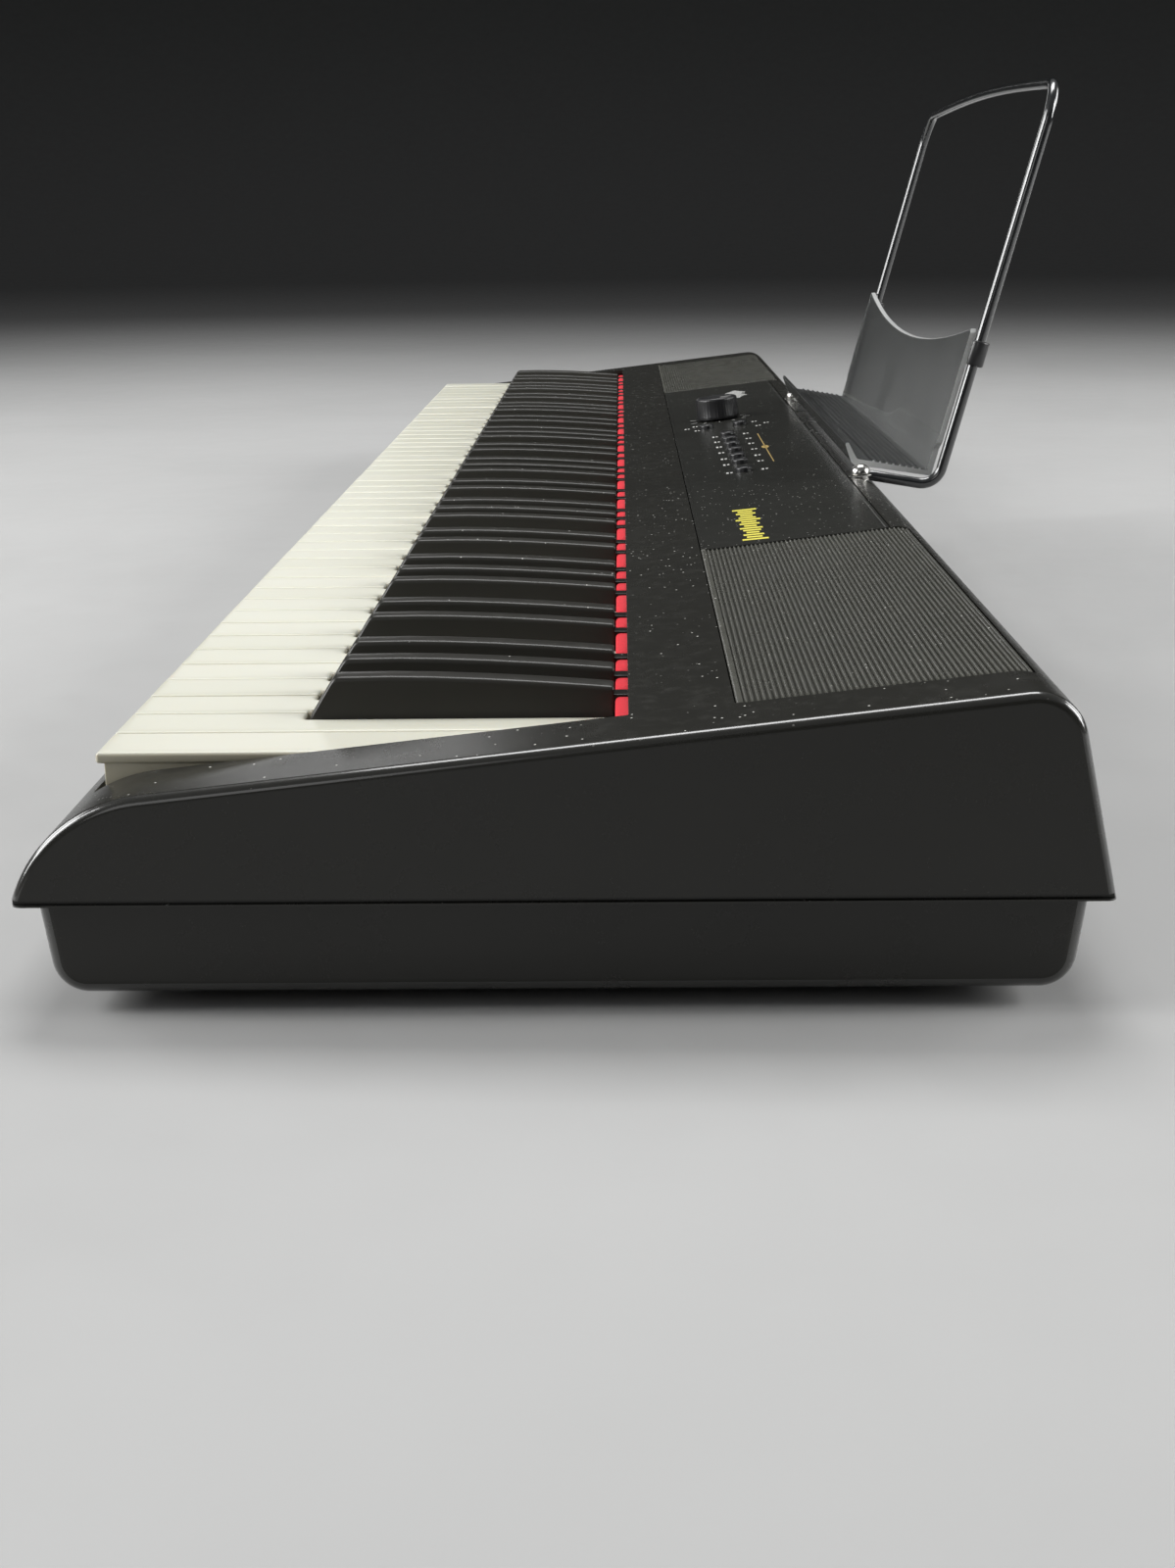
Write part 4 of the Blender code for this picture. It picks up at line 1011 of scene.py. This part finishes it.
def black_centre(index):
    """Centre of the black key to the right of white key index."""
    return white_left(index + 1) + BLACK_SHIFT[WHITE_NAMES[(index + FIRST_WHITE) % 7]]


def has_black(index):
    return WHITE_NAMES[(index + FIRST_WHITE) % 7] in BLACK_SHIFT and 0 <= index < WHITE_COUNT - 1


def white_outline(index):
    """Plan of a white key, notched beside its black keys."""
    left = white_left(index) + WHITE_GAP / 2
    right = white_left(index + 1) - WHITE_GAP / 2
    points = [(left, 0.0), (right, 0.0)]
    if has_black(index):
        notch = black_centre(index) - NOTCH_HALF
        points += [(right, NOTCH_FRONT), (notch, NOTCH_FRONT), (notch, KEY_REAR)]
    else:
        points.append((right, KEY_REAR))
    if has_black(index - 1):
        notch = black_centre(index - 1) + NOTCH_HALF
        points += [(notch, KEY_REAR), (notch, NOTCH_FRONT), (left, NOTCH_FRONT)]
    else:
        points.append((left, KEY_REAR))
    return [Vector(point) for point in points]


def white_key(bm, index, drop, tilt):
    """A white key: crowned top, rounded rim, front lip over a set-back skirt."""
    outline = white_outline(index)
    round_radius, fall = 0.001, 0.00016
    levels = [(0.0036, 0.0), (0.0022, -0.00003), (0.0014, -0.0001), (round_radius, -fall)]
    for step in range(1, 6):
        angle = math.pi / 2 * step / 5
        levels.append((round_radius * (1 - math.sin(angle)), -fall - round_radius * (1 - math.cos(angle))))
    levels += [(0.0, -0.0025), (0.00025, -0.003), (0.0006, -0.0032), (0.0006, -WHITE_DEPTH)]
    loops = []
    for number, (inset, z) in enumerate(levels):
        moved = rounded_inset(outline, 0.0009, inset)
        under = number >= len(levels) - 2
        loop = []
        for x, y in moved:
            if under and y < 0.004:
                y += 0.0016
            loop.append(Vector((x, y, z - drop + tilt * (y - KEY_REAR))))
        loops.append(loop)
    merge(bm, loft(bmesh.new(), loops))


def black_height(y):
    """Height of a black key's top above the white keys, at y."""
    ramp = 0.0006 + 1.62 * (y - BLACK_FRONT)
    far = (y - BLACK_FRONT - 0.023) / (BLACK_REAR - BLACK_FRONT - 0.023)
    crest = 0.012 - 0.0034 * max(far, 0.0) ** 1.6 - 0.0006 * max(-far, 0.0)
    soft = 0.0007
    return -soft * math.log(math.exp(-ramp / soft) + math.exp(-crest / soft))


def black_key(bm, index, drop):
    """A black key: sloped front, rounded shoulders, top that falls gently to the rear."""
    centre = black_centre(index)
    offsets = [0.0, 0.0003, 0.0008, 0.0015, 0.0025, 0.0035, 0.0045, 0.0055, 0.0062, 0.0068, 0.0074]
    offsets += [0.008, 0.0088, 0.0098, 0.0112, 0.0135, 0.017, 0.023, 0.035, 0.05, 0.065, 0.078]
    stations = [(BLACK_FRONT + offset, 1.0) for offset in offsets]
    stations += [(BLACK_REAR - 0.0012, 1.0), (BLACK_REAR - 0.0005, 0.985), (BLACK_REAR - 0.0001, 0.95)]
    stations.append((BLACK_REAR, 0.9))
    radius, crown, steps = 0.0016, 0.00035, 7
    loops = []
    for y, share in stations:
        height = black_height(y) - (1.0 - share) * 0.004
        taper = 1.0 - 0.1 * math.exp(-(y - BLACK_FRONT) / 0.001) - 0.35 * (1.0 - share)
        lean = max(height, 0.0) / 0.012 * (BLACK_HALF_BASE - BLACK_HALF_TOP)
        base, half = BLACK_HALF_BASE * taper, BLACK_HALF_BASE * taper - lean
        right = [(base, BLACK_BOTTOM), (base, -0.0004), (base, 0.0)]
        if height - radius < 0.0002:
            right[1:] = [(base, BLACK_BOTTOM + 0.002), (base, BLACK_BOTTOM + 0.004)]
        for step in range(steps + 1):
            angle = math.pi / 2 * step / steps
            shoulder = height - crown - radius * (1 - math.sin(angle))
            right.append((half - radius * (1 - math.cos(angle)), shoulder))
        right.append(((half - radius) * 0.5, height - crown * 0.25))
        loop = right + [(0.0, height)] + [(-x, z) for x, z in reversed(right)]
        loops.append([Vector((centre + x, y, z - drop)) for x, z in loop])
    merge(bm, loft(bmesh.new(), loops))
    low = (centre - TAIL_HALF, BLACK_REAR - 0.0008, -0.0055)
    soft_block(bm, low, (centre + TAIL_HALF, KEY_REAR, TAIL_TOP), 0.0005, 2)


def key_combs():
    """Every key as its own closed shell, grouped by the comb that it is moulded on."""
    draw = random.Random(88)
    groups = [("white_keys_0_ab", [0, 1]), ("black_key_0", [0])]
    for octave in range(OCTAVES):
        base, number = 2 + 7 * octave, octave + 1
        ends = [base + 7] if octave == OCTAVES - 1 else []
        groups.append((f"white_keys_{number}_cegb", [base, base + 2, base + 4, base + 6] + ends))
        groups.append((f"white_keys_{number}_dfa", [base + 1, base + 3, base + 5]))
        groups.append((f"black_keys_{number}", [base, base + 1, base + 3, base + 4, base + 5]))
    for node, indices in groups:
        bm = bmesh.new()
        black = node.startswith("black")
        for index in indices:
            drop = 0.00014 * draw.random()
            if black:
                black_key(bm, index, drop)
            else:
                white_key(bm, index, drop, 0.0012 * (draw.random() - 0.5))
        material, slot = (EBONY, "key_black") if black else (IVORY, "key_white")
        add_piece(f"{node}_tops", bm, material, node, [node], 50, flats=True)


def felt_segments():
    """Red felt along the rear of the keys, in a length between each pair of black-key tails."""
    centres = [black_centre(index) for index in range(WHITE_COUNT) if has_black(index)]
    starts = [-SLOT_HALF + 0.0008] + [centre + TAIL_HALF + 0.0002 for centre in centres]
    ends = [centre - TAIL_HALF - 0.0002 for centre in centres] + [SLOT_HALF - 0.0008]
    levels = [(0.0008, 0.0009), (0.0002, 0.0011), (0.0, 0.0016), (0.0, 0.004)]
    levels += [(0.0002, 0.0046), (0.0007, 0.005), (0.0016, 0.0052)]
    bm = bmesh.new()
    for low, high in zip(starts, ends):
        plan = rounded_box(low, high, FELT_FRONT, FELT_REAR, 0.0016, 5)
        merge(bm, loft(bmesh.new(), [
            [Vector((x, y, z)) for x, y in inset_loop(plan, inset)] for inset, z in levels
        ]))
    add_piece("felt_lengths", bm, FELT, "case", ["felt_strip"], 60)


# ---- music rest

def rest_y(z):
    return REST_ELBOW.x + REST_LEAN * (z - REST_ELBOW.y)


def rest_half_path():
    """Centre line of the treble half of the wire, from its pin up and over to the middle."""
    pin = Vector((REST_HOLE_Y, REST_PIN_BOTTOM))
    bend = Vector((REST_HOLE_Y, REST_BEND_Z))
    shoulder = Vector((rest_y(REST_TOP), REST_TOP))
    side = [pin] + fillet(pin, bend, REST_ELBOW, 0.0045, 10)
    side += fillet(bend, REST_ELBOW, shoulder, 0.009, 14)
    points = [Vector((REST_HALF, y, z)) for y, z in side]
    corner = Vector((REST_HALF, REST_TOP))
    middle = Vector((0.0, REST_TOP + REST_BOW))
    inner = corner + (middle - corner) * 0.5
    for x, z in fillet(corner - Vector((0.0, 0.1)), corner, inner, REST_CORNER, 16):
        points.append(Vector((x, rest_y(z), z)))
    start = points[-1]
    for step in range(1, 17):
        share = step / 16
        z = start.z + (REST_TOP + REST_BOW - start.z) * math.sin(share * math.pi / 2)
        points.append(Vector((start.x * (1 - share), rest_y(z), z)))
    return points


def music_rest_wire():
    half = rest_half_path()
    other = [Vector((-point.x, point.y, point.z)) for point in reversed(half[:-1])]
    bm = tube(bmesh.new(), half + other, WIRE_RADIUS - 0.0001, 20)
    add_piece("music_rest_wire", bm, WIRE, "music_rest", ["music_rest_frame"])


def square_off(distance):
    """A y step that moves the leaning sheet by distance, square to its face."""
    return distance * math.sqrt(1 + REST_LEAN**2)


def music_rest_sheet():
    """Clear sheet dished along its top, with a ribbed ledge and an upturned front lip."""
    front = WIRE_RADIUS + FIT + SHEET_THICKNESS
    steps = 40
    top_line = []
    for step in range(steps + 1):
        x = (REST_HALF - 0.0015) * (1 - 2 * step / steps)
        top_line.append((x, SHEET_SIDE_TOP - SHEET_SAG * (1 - (x / REST_HALF) ** 2)))
    bottom, shoulder, ear, crest = SHEET_BOTTOM - 0.002, SHEET_BOTTOM + 0.01, 0.003, SHEET_SIDE_TOP - 0.0018
    outline = [(-LEDGE_HALF, bottom), (LEDGE_HALF, bottom), (LEDGE_HALF, shoulder)]
    outline += [(REST_HALF, shoulder + ear), (REST_HALF, crest)] + top_line
    outline += [(-REST_HALF, crest), (-REST_HALF, shoulder + ear), (-LEDGE_HALF, shoulder)]
    outline = [Vector(point) for point in outline]
    edge = [(0.0004, 0.0), (0.0001, 0.0001), (0.0, 0.0004), (0.0, 0.0021), (0.0001, 0.0024), (0.0004, 0.0025)]
    sheet = loft(bmesh.new(), [
        [Vector((x, rest_y(z) - square_off(front - depth), z)) for x, z in inset_loop(outline, inset)]
        for inset, depth in edge
    ])

    root = Vector((rest_y(SHEET_BOTTOM) - square_off(front) + 0.0012, SHEET_BOTTOM))
    tip = Vector((LEDGE_FRONT, SHEET_BOTTOM + LEDGE_RISE))
    along = (tip - root).normalized()
    up = Vector((along.y, -along.x))
    top = [root]
    for rib in range(8):
        at = root + along * (0.004 + 0.003 * rib)
        for step in range(7):
            angle = math.pi * step / 6
            top.append(at + along * 0.0006 * (1 - math.cos(angle)) + up * 0.0007 * math.sin(angle))
    lip, lip_radius = Vector((tip.x - 0.0035, tip.y + LIP_HEIGHT)), 0.0009
    inner = fillet(top[-1], tip, lip, 0.0022, 6)
    end = arc(lip - Vector((lip_radius, 0.0002)), lip_radius, math.radians(12), math.radians(192), 8)
    outer = tip - up * SHEET_THICKNESS - Vector((0.002, 0.0))
    heel = root - up * 0.0021
    curve = fillet(end[-1], outer - along * 0.0002, heel, 0.0034, 8)
    ledge = prism(bmesh.new(), top + inner + end + curve + [heel], "x", -LEDGE_HALF, LEDGE_HALF)
    bm = shaped(sheet, [ledge], "UNION")
    bmesh.ops.dissolve_limit(bm, angle_limit=math.radians(0.1), verts=bm.verts, edges=bm.edges)
    stands_for = ["music_rest_panel"]
    add_piece("music_rest_sheet", bm, SMOKED, "music_rest", stands_for, 30, flats=True)


def rest_clips():
    """Moulded hooks that hold the clear sheet to the wire."""
    inner, outer, hub = WIRE_RADIUS + 0.0001, WIRE_RADIUS + 0.0019, Vector((0.0, 0.0))
    start, end = math.radians(-48), math.radians(228)
    lean = Matrix.Rotation(-math.atan(REST_LEAN), 4, "X")
    levels = [(-0.5, 0.0005), (-0.47, 0.0001), (-0.43, 0.0), (0.43, 0.0), (0.47, 0.0001), (0.5, 0.0005)]
    for node, side in (("rest_clip_treble", 1), ("rest_clip_bass", -1)):
        loops = []
        for share, inset in levels:
            hook = arc(hub, outer - inset, start, end, 28) + arc(hub, inner, end, start, 28)
            loops.append([Vector((x, y, share * CLIP_LENGTH)) for x, y in hook])
        bm = loft(bmesh.new(), loops)
        place = Matrix.Translation((side * REST_HALF, rest_y(CLIP_Z), CLIP_Z)) @ lean
        bmesh.ops.transform(bm, matrix=place, verts=bm.verts)
        add_piece(node.replace("rest", "sheet"), bm, CONTROL, "music_rest", [node])


def rest_ferrules():
    """Plated collars in the case, and plated domes over the bends of the wire's two feet."""
    bore, radius, tip = 0.0029, 0.0044, 0.0003
    collar = [
        (bore, -0.012), (0.0038, -0.012), (0.0038, 0.0001), (0.0052, 0.0001), (0.0052, 0.0003),
        (0.0049, 0.0006), (0.0032, 0.0007), (bore, 0.0004),
    ]
    dome = [(tip, 0.0009), (0.003, 0.0009), (0.0041, 0.0009), (radius, 0.0013)]
    for step in range(9):
        angle = math.pi / 2 * step / 9
        dome.append((radius * math.cos(angle), 0.0014 + 0.004 * math.sin(angle)))
    dome.append((tip, 0.0054))
    for node, side in (("rest_socket_treble", 1), ("rest_socket_bass", -1)):
        base = panel_point(side * REST_HALF, REST_HOLE_Y)
        bm = turned(bmesh.new(), collar, base, PANEL_NORMAL)
        add_piece(node.replace("socket", "collar"), bm, NICKEL, "case", [node])
        bm = turned(bmesh.new(), dome, base, PANEL_NORMAL, 40, solid=True)
        add_piece(node.replace("socket", "dome"), bm, NICKEL, "music_rest")


# ---- rear sockets

def rear_sockets():
    """Round sockets with threaded collars, and a square data port, in the rear wall."""
    mouth = REAR_FOOT.x - REAR_LEAN * (SOCKET_Z - REAR_FOOT.y)
    inner = 0.2555
    end = mouth - inner
    for node, name, x, bore, material, slot in (
        ("power_inlet", "power_barrel", POWER_X, 0.003, CONTROL, "control_black"),
        ("pedal_jack", "pedal_collar", PEDAL_X, 0.0032, NICKEL, "nickel"),
        ("headphone_jack", "headphone_collar", PHONES_X, 0.0032, NICKEL, "nickel"),
    ):
        profile = [
            (bore, -0.02), (0.0068, -0.02), (0.0068, 0.0), (0.0052, 0.0),
            (0.0052, end), (0.0049, end + 0.0003), (bore + 0.0005, end + 0.0003), (bore, end - 0.0004),
        ]
        bm = turned(bmesh.new(), profile, (x, inner, SOCKET_Z), (0, 1, 0), 40)
        if node == "power_inlet":
            pin = [(0.0002, -0.0198), (0.001, -0.0198), (0.001, end - 0.0022)]
            pin += [(0.0006, end - 0.0016), (0.0002, end - 0.0015)]
            turned(bm, pin, (x, inner, SOCKET_Z), (0, 1, 0), 20, solid=True)
        add_piece(name, bm, material, "case", [node])

    def port(bm, half, tall, front, rear, radius, segments=3):
        low, high = (USB_X - half, front, SOCKET_Z - tall), (USB_X + half, rear, SOCKET_Z + tall)
        return soft_block(bm, low, high, radius, segments)

    shell = port(bmesh.new(), 0.006, 0.0055, inner - 0.01, mouth + 0.0003, 0.0005)
    cavity = port(bmesh.new(), 0.0044, 0.004, mouth - 0.012, mouth + 0.004, 0.0004)
    bm = shaped(shell, [cavity])
    port(bm, 0.0028, 0.0016, mouth - 0.0125, mouth - 0.003, 0.0003, 2)
    add_piece("data_port_shell", bm, NICKEL, "case", ["usb_port"])


# ---- parts kept as they are

def finish_inner_parts():
    looks = {
        "keybed_frame": CHASSIS, "key_contact_board": BOARD, "main_board": BOARD, "panel_board": BOARD,
        "contact_rubber_strip": CONTACT, "speaker_treble": CONE, "speaker_bass": CONE,
    }
    for node, material in looks.items():
        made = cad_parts[node]
        made.data.materials.clear()
        made.data.materials.append(material)


# ---- stage

def studio():
    """A pale floor that rises into a round backdrop, soft boxes, and dim air."""
    reach, curve, sides = 5.0, 2.5, 96
    profile = [(reach, 0.0)]
    for step in range(1, 17):
        angle = math.pi / 2 * step / 16
        profile.append((reach + curve * math.sin(angle), curve * (1 - math.cos(angle))))
    profile.append((reach + curve, 2 * curve))
    bm = bmesh.new()
    centre = bm.verts.new((0.0, 0.0, 0.0))
    rings = [
        [bm.verts.new((radius * c, radius * s, height)) for c, s in circle(sides)]
        for radius, height in profile
    ]
    for i in range(sides):
        bm.faces.new((centre, rings[0][i - 1], rings[0][i]))
        for low, high in zip(rings, rings[1:]):
            bm.faces.new((low[i - 1], high[i - 1], high[i], low[i]))
    floor = linked("studio_floor", filled("studio_floor", bm, pale_floor()))

    for name, place, target, size, power in (
        ("front_box", (0.1, -2.2, 1.15), (0.2, 0.0, 0.05), (2.6, 1.0), 48.0),
        ("front_strip", (0.68, -1.9, 1.05), (0.64, -0.1, 0.05), (0.3, 1.6), 20.0),
        ("rear_box", (0.1, 2.2, 1.05), (0.2, 0.0, 0.1), (2.6, 1.0), 40.0),
        ("rear_strip", (0.68, 1.9, 0.85), (0.64, 0.1, 0.05), (0.3, 1.2), 16.0),
        ("top_box", (-0.7, 0.0, 2.6), (0.0, 0.0, 0.0), (1.6, 1.2), 48.0),
        ("far_box", (-3.0, -0.74, 0.82), (0.4, 0.0, 0.05), (0.56, 0.4), 1.2),
        ("end_box", (2.6, -0.9, 1.1), (0.6, 0.0, 0.05), (1.0, 1.0), 4.0),
    ):
        light = bpy.data.lights.new(name, "AREA")
        light.shape = "RECTANGLE"
        light.size, light.size_y = size
        light.energy = power
        made = linked(name, light)
        made.location = place
        made.rotation_mode = "QUATERNION"
        made.rotation_quaternion = (Vector(target) - Vector(place)).to_track_quat("-Z", "Y")

    world = bpy.data.worlds.new("studio_air")
    world.use_nodes = True
    air = world.node_tree.nodes["Background"]
    air.inputs["Color"].default_value = (0.86, 0.88, 0.9, 1.0)
    air.inputs["Strength"].default_value = 0.16
    bpy.context.scene.world = world
    bpy.context.scene.view_settings.view_transform = "Standard"


def camera():
    """The view from beyond the treble end, a little above the keys."""
    eye = Vector((1.17327, -0.015875, 0.20609))
    yaw, pitch, roll = 0.0176, 0.2615, -0.012
    turn = Matrix.Rotation(yaw, 3, "Z")
    forward, right, up = turn @ Vector((-1, 0, 0)), turn @ Vector((0, 1, 0)), Vector((0, 0, 1))
    forward, up = (
        math.cos(pitch) * forward - math.sin(pitch) * up,
        math.sin(pitch) * forward + math.cos(pitch) * up,
    )
    right, up = (
        math.cos(roll) * right + math.sin(roll) * up,
        -math.sin(roll) * right + math.cos(roll) * up,
    )
    data = bpy.data.cameras.new("camera")
    data.lens, data.sensor_width = 49.93, 36.0
    data.clip_start, data.clip_end = 0.01, 50.0
    made = linked("camera", data)
    made.matrix_world = Matrix((right, up, -forward)).transposed().to_4x4()
    made.matrix_world.translation = eye
    bpy.context.scene.camera = made


camera()
studio()
upper_case()
lower_case()
screws()
rubber_feet()
speaker_grille("speaker_grille_treble", 1)
speaker_grille("speaker_grille_bass", -1)
control_panel()
printed_marks()
buttons()
volume_knob()
key_combs()
felt_segments()
music_rest_wire()
music_rest_sheet()
rest_clips()
rest_ferrules()
rear_sockets()
finish_inner_parts()
